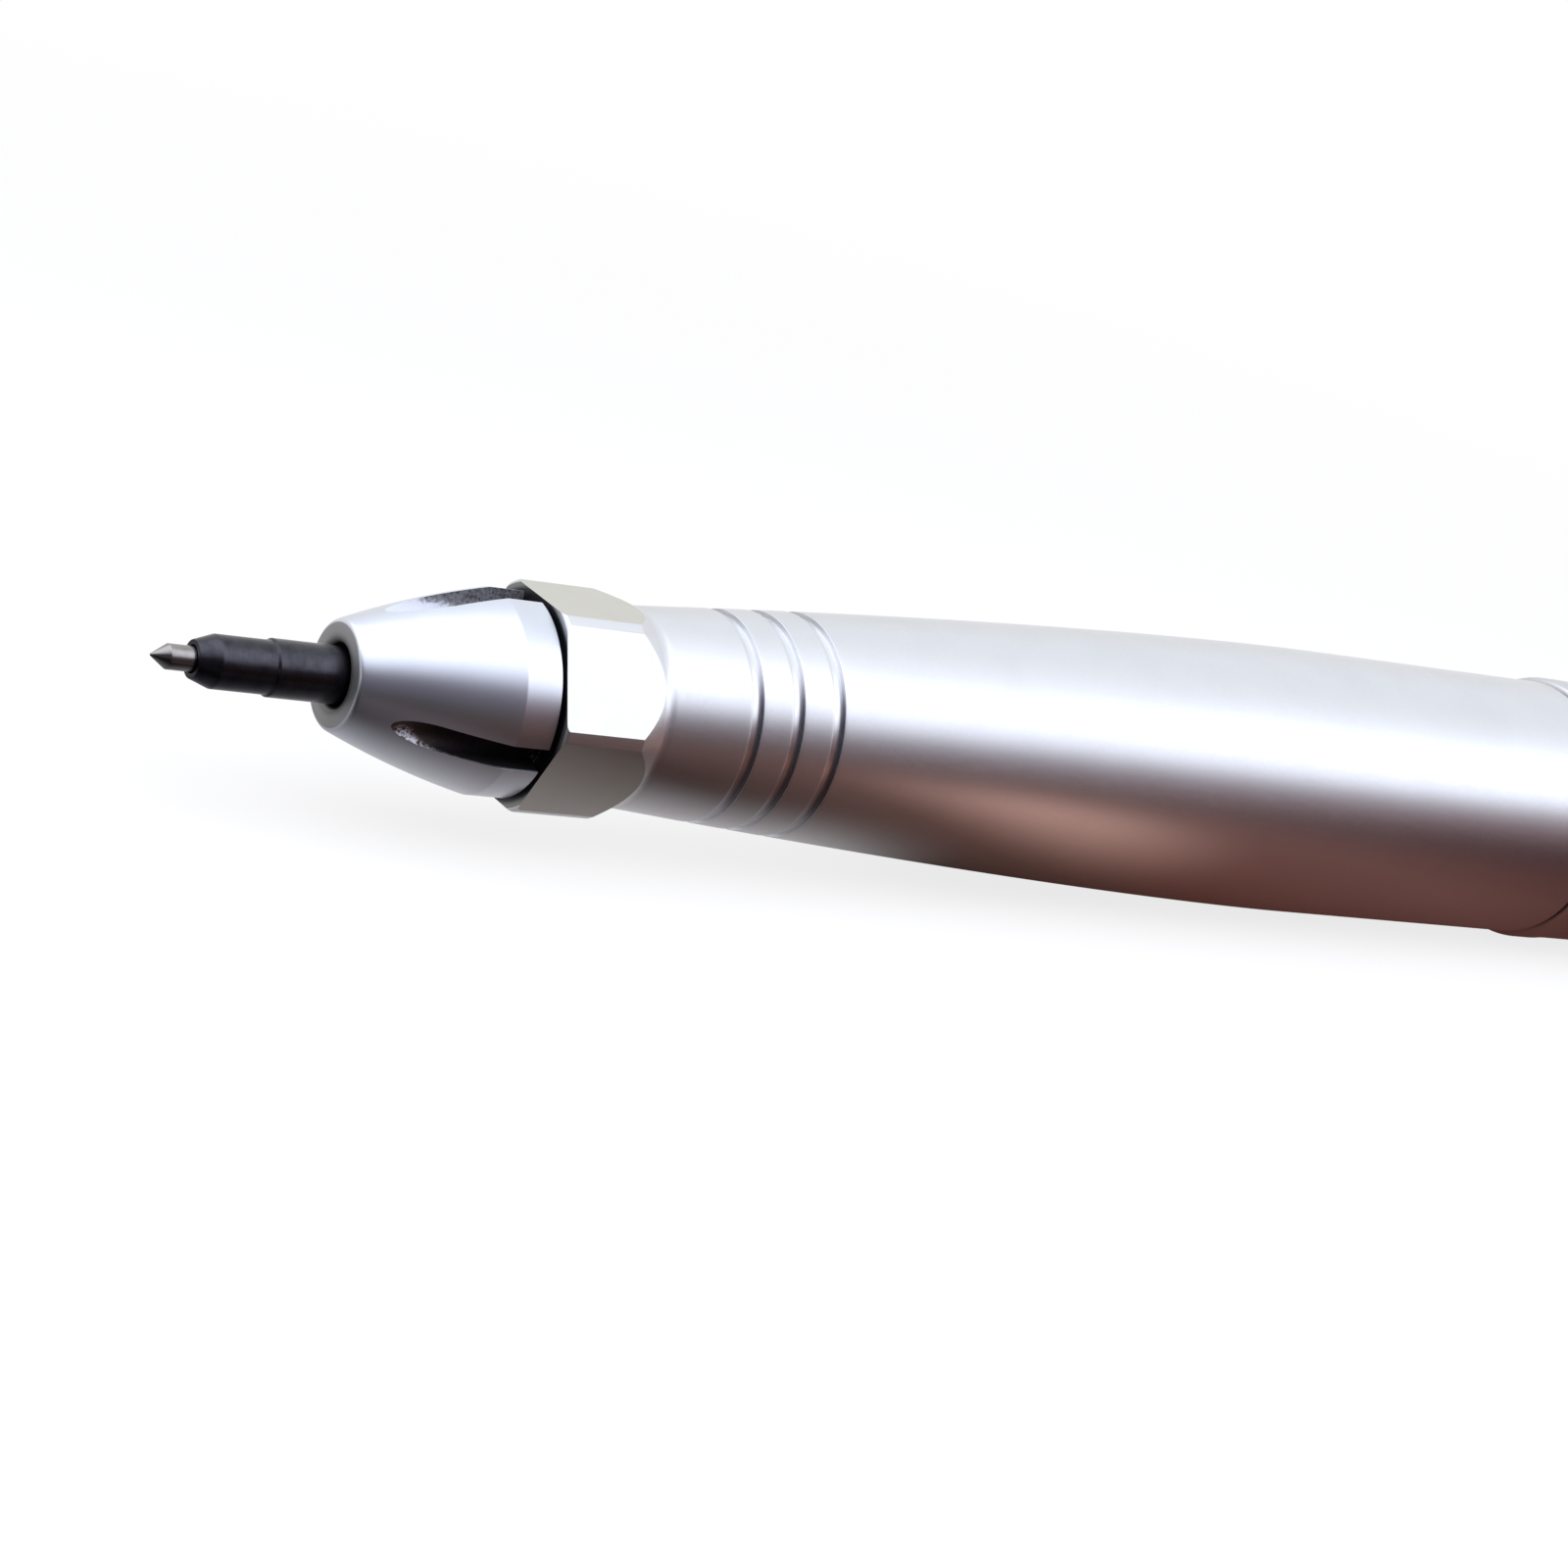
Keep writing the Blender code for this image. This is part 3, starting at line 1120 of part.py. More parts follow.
def main():
    """Build the pen from its point to its inlet."""
    clear_scene()
    build_stylus()
    build_nose_cone()
    build_guide_bush()
    build_housing()
    build_cylinder()
    build_piston()
    build_valve()
    build_stack()
    build_throttle_body()
    build_throttle_ring()
    build_throttle_fittings()


main()
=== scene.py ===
"""Looks of an air engraving pen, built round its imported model.

The pen lies on its side along X with its point towards -X. A station is a place along the pen's axis,
counted rearwards so that the nose cone's face is at 13.1. A clock angle turns round that axis: zero faces
-Y and 90 degrees faces up. Outlines are written in millimetres as (station, radius), and everything in
the scene is in metres.
"""

import logging
import math
from collections.abc import Callable, Iterable, Sequence
from dataclasses import dataclass, field
from enum import Enum
from functools import cached_property

import bmesh
import bpy
from mathutils import Matrix, Vector


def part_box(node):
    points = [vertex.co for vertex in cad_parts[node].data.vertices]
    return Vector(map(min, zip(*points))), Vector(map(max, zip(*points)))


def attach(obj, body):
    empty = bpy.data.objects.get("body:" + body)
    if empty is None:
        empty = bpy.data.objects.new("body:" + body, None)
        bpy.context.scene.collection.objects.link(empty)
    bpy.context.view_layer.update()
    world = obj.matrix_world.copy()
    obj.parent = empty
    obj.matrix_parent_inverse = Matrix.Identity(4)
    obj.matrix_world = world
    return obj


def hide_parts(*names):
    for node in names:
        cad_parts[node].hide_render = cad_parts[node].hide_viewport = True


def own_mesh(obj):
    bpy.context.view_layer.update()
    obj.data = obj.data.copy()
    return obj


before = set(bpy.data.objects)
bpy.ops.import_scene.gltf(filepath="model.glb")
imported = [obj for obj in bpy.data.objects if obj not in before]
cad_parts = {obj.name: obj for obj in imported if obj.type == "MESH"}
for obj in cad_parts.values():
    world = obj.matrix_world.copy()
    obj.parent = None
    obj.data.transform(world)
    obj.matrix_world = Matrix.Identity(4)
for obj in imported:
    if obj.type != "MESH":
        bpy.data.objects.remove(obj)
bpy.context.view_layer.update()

logging.basicConfig(level=logging.INFO, format="%(message)s")
LOG = logging.getLogger("engraving_pen")

Point = tuple[float, float]
Colour = tuple[float, float, float]
Range = tuple[float, float]
Triple = tuple[float, float, float]
Layers = tuple[tuple[str, float, float, Colour], ...]
BMesh = bmesh.types.BMesh
Cutter = tuple[BMesh, int]
Value = "float | Sequence[float] | Sock"

MM = 0.001
NOSE_FACE = 13.1
DATUM_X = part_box("nose_cone")[0].x - NOSE_FACE * MM
AXIS_Z = sum(corner.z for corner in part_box("throttle_ring")) / 2
AXIS = Vector((0.0, 0.0, AXIS_Z))
ALONG = Vector((1.0, 0.0, 0.0))

# Clock angles, in degrees
FULL_TURN = 360.0
TOP_AND_BOTTOM = (90.0, 270.0)

# Numbers of facets
FINE_STEPS = 192
INNER_STEPS = 96
EDGE_STEPS = 6
ROD_SIDES = 32

# How far a cutter reaches past what it cuts, and the slack of a test for a radius, in millimetres
CLEAR = 1.0
SLACK = 0.001

# Distances in metres
MERGE_DISTANCE = 1e-7
CUT_SHIFT = Vector((1e-6, 0.0, 0.0))

CUT_TRIES = 5
LEAST_KEPT = 0.5
SHARP_ANGLE = math.radians(20)
SHADING_WEIGHT = 60
MAIN_SLOT, CUT_SLOT = 0, 1

# Make-up of the finest marks and of the stains
DRIFT_SIZE, DRIFT_SHARE = 40.0, 0.15
MILL_STRETCH, LINE_SHARE = (3.0, 0.25), 0.4
PIT_SHARE = 0.4
CLOUD_LEVELS, MARK_LEVELS, CLOUD_SHARE = (0.35, 0.75), (0.3, 0.7), 0.7
WHITE = (1.0, 1.0, 1.0)


class Part(Enum):
    """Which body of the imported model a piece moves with."""

    PEN = "pen"
    STYLUS = "stylus"
    THROTTLE_RING = "throttle_ring"


class Grain(Enum):
    """How a surface was worked, which decides the direction of its finest marks."""

    TURNED = "turned"
    BLASTED = "blasted"
    MILLED = "milled"
    MOULDED = "moulded"


def place(station: float, radius: float, clock: float) -> Vector:
    """Give a point of the scene.

    Args:
        station: Its station, in millimetres.
        radius: Distance from the pen's axis, in millimetres.
        clock: Clock angle, in degrees.

    Returns:
        The point, in metres.
    """
    angle = math.radians(clock)
    offset = Vector((0.0, -math.cos(angle), math.sin(angle))) * radius * MM
    return AXIS + offset + ALONG * (DATUM_X + station * MM)


# Shader maths


def operator(operation: str, flipped: bool = False) -> "Callable[[Sock, Value], Sock]":
    """Make a socket's method for one Math operation.

    Args:
        operation: The Math node's operation.
        flipped: Whether the other value comes first.

    Returns:
        The method.
    """

    def method(self: "Sock", other: Value) -> "Sock":
        """Add the Math node."""
        pair = (other, self) if flipped else (self, other)
        return self.graph.add("ShaderNodeMath", {"operation": operation}, dict(enumerate(pair)))

    return method


class Sock:
    """A shader socket that takes part in Python arithmetic."""

    __add__, __radd__ = operator("ADD"), operator("ADD", flipped=True)
    __sub__, __rsub__ = operator("SUBTRACT"), operator("SUBTRACT", flipped=True)
    __mul__, __rmul__ = operator("MULTIPLY"), operator("MULTIPLY", flipped=True)
    __pow__ = operator("POWER")
    highest = operator("MAXIMUM")

    def __init__(self, graph: "Graph", socket: bpy.types.NodeSocket) -> None:
        """Wrap one output socket of a graph."""
        self.graph = graph
        self.socket = socket

    def between(self, low: float, high: float) -> "Sock":
        """Rise smoothly from 0 to 1 between two values.

        Args:
            low: The value that gives 0.
            high: The value that gives 1; it may be the smaller one.

        Returns:
            The share, held between 0 and 1.
        """
        settings = {"interpolation_type": "SMOOTHSTEP", "clamp": True}
        sockets = {"Value": self, "From Min": low, "From Max": high}
        if low > high:
            sockets = {"Value": self, "From Min": high, "From Max": low, "To Min": 1.0, "To Max": 0.0}
        return self.graph.add("ShaderNodeMapRange", settings, sockets)


class Graph:
    """The node tree of one material or of the world."""

    def __init__(self, owner: "bpy.types.Material | bpy.types.World") -> None:
        """Empty the owner's node tree and keep it."""
        owner.use_nodes = True
        self.tree = owner.node_tree
        self.tree.nodes.clear()

    def add(
        self,
        kind: str,
        settings: "dict[str, object] | None" = None,
        sockets: "dict[str | int, Value] | None" = None,
        output: "str | int" = 0,
    ) -> Sock:
        """Add one node.

        Args:
            kind: The node's type.
            settings: Its properties, or "stops" for a colour ramp's positions and colours.
            sockets: Values or links of its inputs, by name or number.
            output: The output that is wanted.

        Returns:
            That output.
        """
        node = self.tree.nodes.new(kind)
        for name, value in (settings or {}).items():
            if name == "stops":
                self._set_stops(node.color_ramp, value)
            else:
                setattr(node, name, value)
        for name, value in (sockets or {}).items():
            if isinstance(value, Sock):
                self.tree.links.new(value.socket, node.inputs[name])
            else:
                node.inputs[name].default_value = value
        return Sock(self, node.outputs[output] if node.outputs else None)

    @staticmethod
    def _set_stops(ramp: bpy.types.ColorRamp, stops: "Sequence[tuple[float, Colour]]") -> None:
        """Give a colour ramp its stops."""
        while len(ramp.elements) < len(stops):
            ramp.elements.new(1.0)
        for element, (position, colour) in zip(ramp.elements, stops):
            element.position = position
            element.color = (*colour, 1.0)

    def mix(self, share: Value, first: Value, second: Value) -> Sock:
        """Blend two colours; a share of 0 gives the first one and 1 the second."""
        return self.add("ShaderNodeMix", {"data_type": "RGBA"}, {0: share, 6: first, 7: second}, 2)

    def vector(self, x: Value, y: Value, z: Value = 0.0) -> Sock:
        """Combine three values into a vector."""
        return self.add("ShaderNodeCombineXYZ", sockets={0: x, 1: y, 2: z})

    def noise(self, where: Sock, scale: float, detail: float = 2.0, rough: float = 0.5) -> Sock:
        """Give fractal noise about one half, with a number of features per metre and finer layers."""
        sockets = {"Vector": where, "Scale": scale, "Detail": detail, "Roughness": rough}
        return self.add("ShaderNodeTexNoise", {"noise_dimensions": "3D"}, sockets)


class Spot:
    """The point that a shader colours. Its measures are in metres."""

    def __init__(self, graph: Graph) -> None:
        """Read the object coordinates."""
        self.graph = graph
        self.point = graph.add("ShaderNodeTexCoord", output="Object")

    def _axis(self, index: int) -> Sock:
        """Give one of the three coordinates."""
        return self.graph.add("ShaderNodeSeparateXYZ", sockets={0: self.point}, output=index)

    @cached_property
    def x(self) -> Sock:
        """Give its X."""
        return self._axis(0)

    @cached_property
    def y(self) -> Sock:
        """Give its Y."""
        return self._axis(1)

    @cached_property
    def station(self) -> Sock:
        """Give its station."""
        return self.x - DATUM_X

    @cached_property
    def height(self) -> Sock:
        """Give its height over the pen's axis."""
        return self._axis(2) - AXIS_Z

    @cached_property
    def radius(self) -> Sock:
        """Give its distance from the pen's axis."""
        return (self.y * self.y + self.height * self.height) ** 0.5

    def distance(self, x: float, y: float) -> Sock:
        """Give its distance from an upright line."""
        aside, along = self.x - x, self.y - y
        return (aside * aside + along * along) ** 0.5

    def layered(self, base: Colour, layers: Layers) -> Sock:
        """Lay colours over one another.

        Args:
            base: The lowest colour.
            layers: The "x" or "y" that a colour follows, where it starts, where it is full, and the colour.

        Returns:
            The blended colour.
        """
        tone = rgba(base)
        for axis, start, full, colour in layers:
            tone = self.graph.mix(getattr(self, axis).between(start, full), tone, rgba(colour))
        return tone


def rgba(colour: Colour) -> "tuple[float, float, float, float]":
    """Give a colour with full opacity."""
    return (*colour, 1.0)


def scaled(colour: Colour, share: float) -> Colour:
    """Give a darker or lighter version of a colour."""
    return tuple(channel * share for channel in colour)


@dataclass(frozen=True)
class Cone:
    """The nose cone's bulging outside. Sizes are in millimetres."""

    front: float = NOSE_FACE
    length: float = 10.76
    front_radius: float = 3.75
    rear_radius: float = 7.1
    bulge: float = 0.3

    def radius(self, share: "float | Sock") -> "float | Sock":
        """Give its radius at a share of its length, for a number or for a shader's socket."""
        swollen = share + share * (1.0 - share) * self.bulge
        return swollen * (self.rear_radius - self.front_radius) + self.front_radius


CONE = Cone()


def within(measure: Sock, limits: Range) -> Sock:
    """Rise smoothly from 0 to 1 between two limits in millimetres, for a measure in metres."""
    return measure.between(limits[0] * MM, limits[1] * MM)


@dataclass(frozen=True)
class Finish:
    """One worked and treated surface.

    Attributes:
        colour: Its base colour.
        roughness: How broad its reflections are.
        metallic: 1 for bare or anodised metal, 0 for rubber and plastic.
        grain: How it was worked.
        grain_size: Size of the finest marks, in millimetres.
        grain_depth: Depth of those marks, in millimetres.
        roughness_spread: How much the marks change the roughness.
        stain: How dark the darkest cloudy patches are, as a share.
        stain_size: Size of those patches, in millimetres.
        specular: Level of the plain reflection, for surfaces that aren't metal.
    """

    colour: Colour
    roughness: float
    metallic: float = 1.0
    grain: Grain = Grain.TURNED
    grain_size: float = 0.1
    grain_depth: float = 0.002
    roughness_spread: float = 0.1
    stain: float = 0.06
    stain_size: float = 4.0
    specular: float = 0.5

    def marks(self, spot: Spot) -> Sock:
        """Draw the finest marks of the surface.

        Args:
            spot: The point that is coloured.

        Returns:
            A height about one half.
        """
        graph, scale = spot.graph, 1.0 / (self.grain_size * MM)
        if self.grain is Grain.TURNED:
            fine = graph.noise(graph.vector(spot.x, spot.radius), scale, detail=3.0, rough=0.6)
            drift = graph.noise(spot.point, scale / DRIFT_SIZE, detail=1.0)
            return fine * (1.0 - DRIFT_SHARE) + drift * DRIFT_SHARE
        if self.grain is Grain.MILLED:
            along, across = MILL_STRETCH
            sweep = graph.vector(spot.x * along, spot.y * across, spot.height * across)
            lines = graph.noise(sweep, scale / along, detail=3.0, rough=0.6)
            speckle = graph.noise(spot.point, scale, rough=0.7)
            return lines * LINE_SHARE + speckle * (1.0 - LINE_SHARE)
        if self.grain is Grain.BLASTED:
            pits = graph.add("ShaderNodeTexVoronoi", sockets={"Vector": spot.point, "Scale": scale})
            return graph.noise(spot.point, scale, rough=0.6) * (1.0 - PIT_SHARE) + pits * PIT_SHARE
        return graph.noise(spot.point, scale)

    def tint(self, spot: Spot, marks: Sock) -> Sock:
        """Colour the surface, with cloudy patches.

        Args:
            spot: The point that is coloured.
            marks: The height of the finest marks.

        Returns:
            The base colour.
        """
        clouds = spot.graph.noise(spot.point, 1.0 / (self.stain_size * MM), detail=3.0, rough=0.55)
        share = clouds.between(*CLOUD_LEVELS) * CLOUD_SHARE
        share = share + marks.between(*MARK_LEVELS) * (1.0 - CLOUD_SHARE)
        return spot.graph.mix(share, rgba(self.colour), rgba(scaled(self.colour, 1.0 - self.stain)))

    def build(self, name: str) -> bpy.types.Material:
        """Make the material.

        Args:
            name: The material's name.

        Returns:
            The material.
        """
        material = bpy.data.materials.new(name)
        graph = Graph(material)
        spot = Spot(graph)
        marks = self.marks(spot)
        relief = {"Strength": 1.0, "Distance": self.grain_depth * MM, "Height": marks}
        bump = graph.add("ShaderNodeBump", sockets=relief)
        sockets = {
            "Base Color": self.tint(spot, marks),
            "Roughness": (marks - 0.5) * self.roughness_spread + self.roughness,
            "Metallic": self.metallic,
            "Specular IOR Level": self.specular,
            "Normal": bump,
        }
        shader = graph.add("ShaderNodeBsdfPrincipled", sockets=sockets)
        graph.add("ShaderNodeOutputMaterial", sockets={"Surface": shader})
        material.diffuse_color = rgba(self.colour)
        return material


@dataclass(frozen=True)
class FluteFinish(Finish):
    """A flute's milled wall, coloured in front, with chips by the lower edge of its shallow front end that
    are partly painted highlight, and a painted highlight along that lower edge.

    Attributes:
        clock: Clock angle of the flute, in degrees.
        front_colour: Colour of the wall at the flute's front end; on the lower flutes it is painted warm
            reflection and shade.
        fade: Stations where that colour starts to fade and where it has gone, in millimetres.
        least: Stations that it reaches everywhere, fading, in millimetres.
        sink: How much further rearwards it reaches for each millimetre of depth.
        ragged: How far its end wanders, in millimetres.
        lower: Heights over the flute's middle between which the lower wall, which the painted highlights keep
            to, gives way to the upper one.
        chips_and_glints: Stations where the chips, partly painted highlight, start, where they are at their
            most and where they have gone.
        chip_depth: How far below the cone's surface they reach, in millimetres.
        chip_and_glint_colour: Colour of a bare chip and of the painted highlights.
        chip_size: Size of a chip, in millimetres.
        chip_cover: Noise levels that chips start and end at; lower ones give more of them.
        edge_highlight: Stations between which the lower edge comes to carry a painted highlight, in
            millimetres.
        edge_highlight_depth: Depth of that painted highlight below the cone's surface, in millimetres.
    """

    clock: float = -19.0
    front_colour: Colour = (0.13, 0.085, 0.065)
    fade: Range = (15.0, 20.5)
    least: Range = (-0.6, 0.0)
    sink: float = 0.0
    ragged: float = 3.0
    lower: Range = (0.3, -0.3)
    chips_and_glints: Triple = (15.8, 16.6, 25.0)
    chip_depth: float = 0.5
    chip_and_glint_colour: Colour = (0.85, 0.87, 0.95)
    chip_size: float = 0.3
    chip_cover: Range = (0.44, 0.52)
    edge_highlight: Range = (20.5, 23.0)
    edge_highlight_depth: float = 0.25

    def tint(self, spot: Spot, marks: Sock) -> Sock:
        """Colour the wall, with chips at its front that are partly painted highlight, and a painted highlight
        along its lower edge.

        Args:
            spot: The point that is coloured.
            marks: The height of the finest marks.

        Returns:
            The base colour.
        """
        graph, bright = spot.graph, rgba(self.chip_and_glint_colour)
        patches = graph.noise(spot.point, 1.0 / (self.chip_size * MM), detail=3.0, rough=0.7)
        angle = math.radians(self.clock)
        lower = within(spot.y * math.sin(angle) + spot.height * math.cos(angle), self.lower)
        depth = CONE.radius(within(spot.station, (CONE.front, CONE.front + CONE.length))) * MM - spot.radius
        # The wall turns from the front colour to its base colour rearwards; on the lower flutes both colours
        # are painted shade.
        rear_share = within(spot.station - depth * self.sink + (patches - 0.5) * (self.ragged * MM), self.fade)
        rear_share = rear_share * within(spot.station, self.least)
        base = graph.mix(rear_share, rgba(self.front_colour), super().tint(spot, marks))
        # Painted highlight along the lower edge, in the chip and glint colour.
        edge_highlight = within(spot.station, self.edge_highlight) * lower * within(depth, (self.edge_highlight_depth, 0.0))
        base = graph.mix(edge_highlight, base, bright)
        # Chips by the lower edge: real chips, made brighter as painted highlight on the lit lower wall.
        start, most, end = self.chips_and_glints
        chips_and_glints = within(spot.station, (end, self.fade[0])) ** 0.5 * within(spot.station, (start, most))
        chips_and_glints = chips_and_glints * within(depth, (self.chip_depth, 0.0)) * lower * patches.between(*self.chip_cover)
        return graph.mix(chips_and_glints, base, bright)


@dataclass(frozen=True)
class InnerShadeFinish(Finish):
    """A face with painted shade near the axis, fading out towards its rim.

    Attributes:
        inner_shade: Colour of the painted shade.
        inner_shade_reach: Radii where the painted shade starts to fade and where it has gone, in millimetres.
    """

    inner_shade: Colour = (0.04, 0.04, 0.05)
    inner_shade_reach: Range = (7.2, 7.6)

    def tint(self, spot: Spot, marks: Sock) -> Sock:
        """Colour the face, with its painted shade."""
        unshaded = within(spot.radius, self.inner_shade_reach)
        return spot.graph.mix(unshaded, rgba(self.inner_shade), super().tint(spot, marks))


@dataclass(frozen=True)
class MidShadeFinish(Finish):
    """A surface with painted shade across its middle heights, lighter above and below.

    Attributes:
        mid_shade: Colour of the painted shade.
        above: Heights over the axis where the painted shade starts to fade and where it has gone, in
            millimetres.
        under: The same on the underside.
    """

    mid_shade: Colour = (0.33, 0.33, 0.37)
    above: Range = (3.4, 5.6)
    under: Range = (-3.6, -5.6)

    def tint(self, spot: Spot, marks: Sock) -> Sock:
        """Colour the surface, with its painted shade."""
        unshaded = within(spot.height, self.above) + within(spot.height, self.under)
        return spot.graph.mix(unshaded, rgba(self.mid_shade), super().tint(spot, marks))


class Palette(Enum):
    """The pen's finishes."""

    CARBIDE = Finish((0.3, 0.285, 0.275), 0.22, grain_size=0.05, stain=0.3, stain_size=1.2)
    BLACK_OXIDE = Finish(
        (0.062, 0.06, 0.073), 0.27, grain_size=0.06, grain_depth=0.003, stain=0.45, stain_size=0.9
    )
    TURNED_NOSE = Finish((0.66, 0.69, 0.76), 0.33, grain_size=0.05, grain_depth=0.0012, stain=0.05)
    # The nose's face, with painted shade round the mouth of its bore.
    NOSE_FACE = InnerShadeFinish(
        (0.48, 0.48, 0.475),
        0.5,
        grain_size=0.06,
        stain=0.1,
        inner_shade=(0.12, 0.12, 0.125),
        inner_shade_reach=(2.1, 3.0),
    )
    # Near-black base: painted shade deep in the lower flutes; its brown front colour is painted warm
    # reflection and shade.
    FLUTE_WALL = FluteFinish(
        (0.058, 0.052, 0.058), 0.62, grain=Grain.MILLED, grain_size=0.14, grain_depth=0.02, stain=0.6
    )
    TORN_WALL = FluteFinish(
        (0.37, 0.37, 0.4),
        0.75,
        grain=Grain.BLASTED,
        grain_size=0.16,
        grain_depth=0.06,
        stain=0.75,
        stain_size=0.25,
        clock=93.0,
        front_colour=(0.7, 0.72, 0.78),
        fade=(17.6, 18.9),
        least=(18.4, 19.0),
        sink=2.4,
        chips_and_glints=(18.4, 19.2, 25.0),
        chip_cover=(0.4, 0.48),
    )
    SATIN_BODY = Finish(
        (0.66, 0.672, 0.7), 0.37, grain=Grain.BLASTED, grain_size=0.3, grain_depth=0.0015, stain=0.04
    )
    TURNED_GROOVE = Finish((0.72, 0.73, 0.75), 0.3, grain_size=0.05, grain_depth=0.0006, stain=0.05)
    # The grooves' rear walls, with painted shade across their middle heights.
    GROOVE_WALL = MidShadeFinish((0.7, 0.71, 0.74), 0.3, grain_size=0.05, grain_depth=0.0006, stain=0.05)
    MILLED_FLAT = Finish((0.61, 0.61, 0.57), 0.32, grain=Grain.MILLED, grain_depth=0.0012)
    # The hexagon's front face: darker than the flats, with painted shade in the gap next to the nose cone.
    DULL_FACE = InnerShadeFinish((0.34, 0.35, 0.34), 0.45, grain_size=0.07, stain=0.3)
    SATIN_RING = Finish(
        (0.6, 0.605, 0.63), 0.34, grain=Grain.BLASTED, grain_size=0.06, grain_depth=0.0012, stain=0.04
    )
    TURNED_STEEL = Finish((0.6, 0.6, 0.61), 0.28, grain_size=0.08, grain_depth=0.0015)
    GROUND_STEEL = Finish((0.56, 0.57, 0.59), 0.22, grain_size=0.03, grain_depth=0.0006)
    SPRING_WIRE = Finish((0.44, 0.44, 0.45), 0.32, grain=Grain.MOULDED, grain_size=0.2)
    PHOSPHATED = Finish((0.16, 0.16, 0.165), 0.48, grain=Grain.BLASTED, grain_size=0.05, stain=0.2)
    BRONZE = Finish((0.55, 0.36, 0.16), 0.32, grain_size=0.07, grain_depth=0.0012)
    BRASS = Finish((0.72, 0.52, 0.22), 0.28, grain_size=0.06, grain_depth=0.001)
    RUBBER = Finish((0.02, 0.02, 0.021), 0.62, 0.0, Grain.MOULDED, 0.08, specular=0.4)
    URETHANE = Finish((0.55, 0.25, 0.05), 0.42, 0.0, Grain.MOULDED, 0.1, 0.001)

    def material(self) -> bpy.types.Material:
        """Give this finish's material, made when it is first asked for."""
        name = self.name.lower()
        return bpy.data.materials.get(name) or self.value.build(name)


# Modelling


@dataclass
class Outline:
    """A turned piece's outline, whose corners may be rounded.

    Attributes:
        closed: Whether the last corner joins the first; an open outline ends on the axis.
    """

    closed: bool = True
    corners: "list[tuple[float, float, float]]" = field(default_factory=list)

    def to(self, station: float, radius: float, edge: float = 0.0) -> "Outline":
        """Add a corner, whose rounding starts an edge's width from it, and give the outline back."""
        self.corners.append((station, radius, edge))
        return self

    def curve(self, points: Iterable[Point]) -> "Outline":
        """Add the points of a smooth curve."""
        for station, radius in points:
            self.to(station, radius)
        return self

    def traced(self) -> list[Point]:
        """Give the outline's points, with its roundings drawn."""
        points: list[Point] = []
        count = len(self.corners)
        for index, (station, radius, edge) in enumerate(self.corners):
            if not edge:
                points.append((station, radius))
                continue
            here = Vector((station, radius))
            before = Vector(self.corners[index - 1][:2])
            after = Vector(self.corners[(index + 1) % count][:2])
            start = here + (before - here).normalized() * edge
            end = here + (after - here).normalized() * edge
            for step in range(EDGE_STEPS + 1):
                share = step / EDGE_STEPS
                spot = start.lerp(here, share).lerp(here.lerp(end, share), share)
                points.append((spot.x, spot.y))
        return points


def turned(outline: Outline, steps: int, start: float = 0.0, sweep: float = FULL_TURN) -> BMesh:
    """Turn an outline round the pen's axis.

    Args:
        outline: The outline.
        steps: Number of facets round it.
        start: Clock angle that it starts at, in degrees.
        sweep: How far it turns, in degrees; under a full turn its ends are capped.

    Returns:
        The mesh.
    """
    bm = bmesh.new()
    verts = [bm.verts.new(place(*point, start)) for point in outline.traced()]
    pairs = list(zip(verts, verts[1:]))
    if outline.closed:
        pairs.append((verts[-1], verts[0]))
    edges = [bm.edges.new(pair) for pair in pairs]
    whole = sweep == FULL_TURN
    bmesh.ops.spin(
        bm,
        geom=verts + edges if whole else [bm.faces.new(verts)],
        cent=AXIS,
        axis=ALONG,
        angle=math.tau if whole else -math.radians(sweep),
        steps=steps,
        use_merge=whole,
        use_duplicate=False,
    )
    if whole:
        bmesh.ops.remove_doubles(bm, verts=bm.verts, dist=MERGE_DISTANCE)
        bmesh.ops.dissolve_degenerate(bm, edges=bm.edges, dist=MERGE_DISTANCE)
    return bm


def rods(*pins: "tuple[float, Point, Point, float]") -> BMesh:
    """Make round rods.

    Args:
        pins: Each rod's clock angle, the station and radius of its two ends, and its own radius.

    Returns:
        The mesh.
    """
    bm = bmesh.new()
    for clock, first, last, radius in pins:
        start, end = place(*first, clock), place(*last, clock)
        line = end - start
        bmesh.ops.create_cone(
            bm,
            cap_ends=True,
            segments=ROD_SIDES,
            radius1=radius * MM,
            radius2=radius * MM,
            depth=line.length,
            matrix=Matrix.Translation((start + end) / 2) @ line.to_track_quat("Z", "Y").to_matrix().to_4x4(),
        )
    return bm


def blocks(low: Sequence[float], high: Sequence[float]) -> BMesh:
    """Make two equal blocks, one above the pen's axis and one below it.

    Args:
        low: Their least station, height outwards and width, in millimetres.
        high: Their greatest station, height outwards and width, in millimetres.

    Returns:
        The mesh.
    """
    bm = bmesh.new()
    middle = [(a + b) / 2 for a, b in zip(low, high)]
    shape = Matrix.Diagonal((*((b - a) * MM for a, b in zip(low, high)), 1.0))
    shift = Matrix.Translation((DATUM_X + middle[0] * MM, -middle[1] * MM, middle[2] * MM))
    for clock in TOP_AND_BOTTOM:
        turn = Matrix.Rotation(-math.radians(clock), 4, "X")
        bmesh.ops.create_cube(bm, size=1.0, matrix=Matrix.Translation(AXIS) @ turn @ shift @ shape)
    return bm


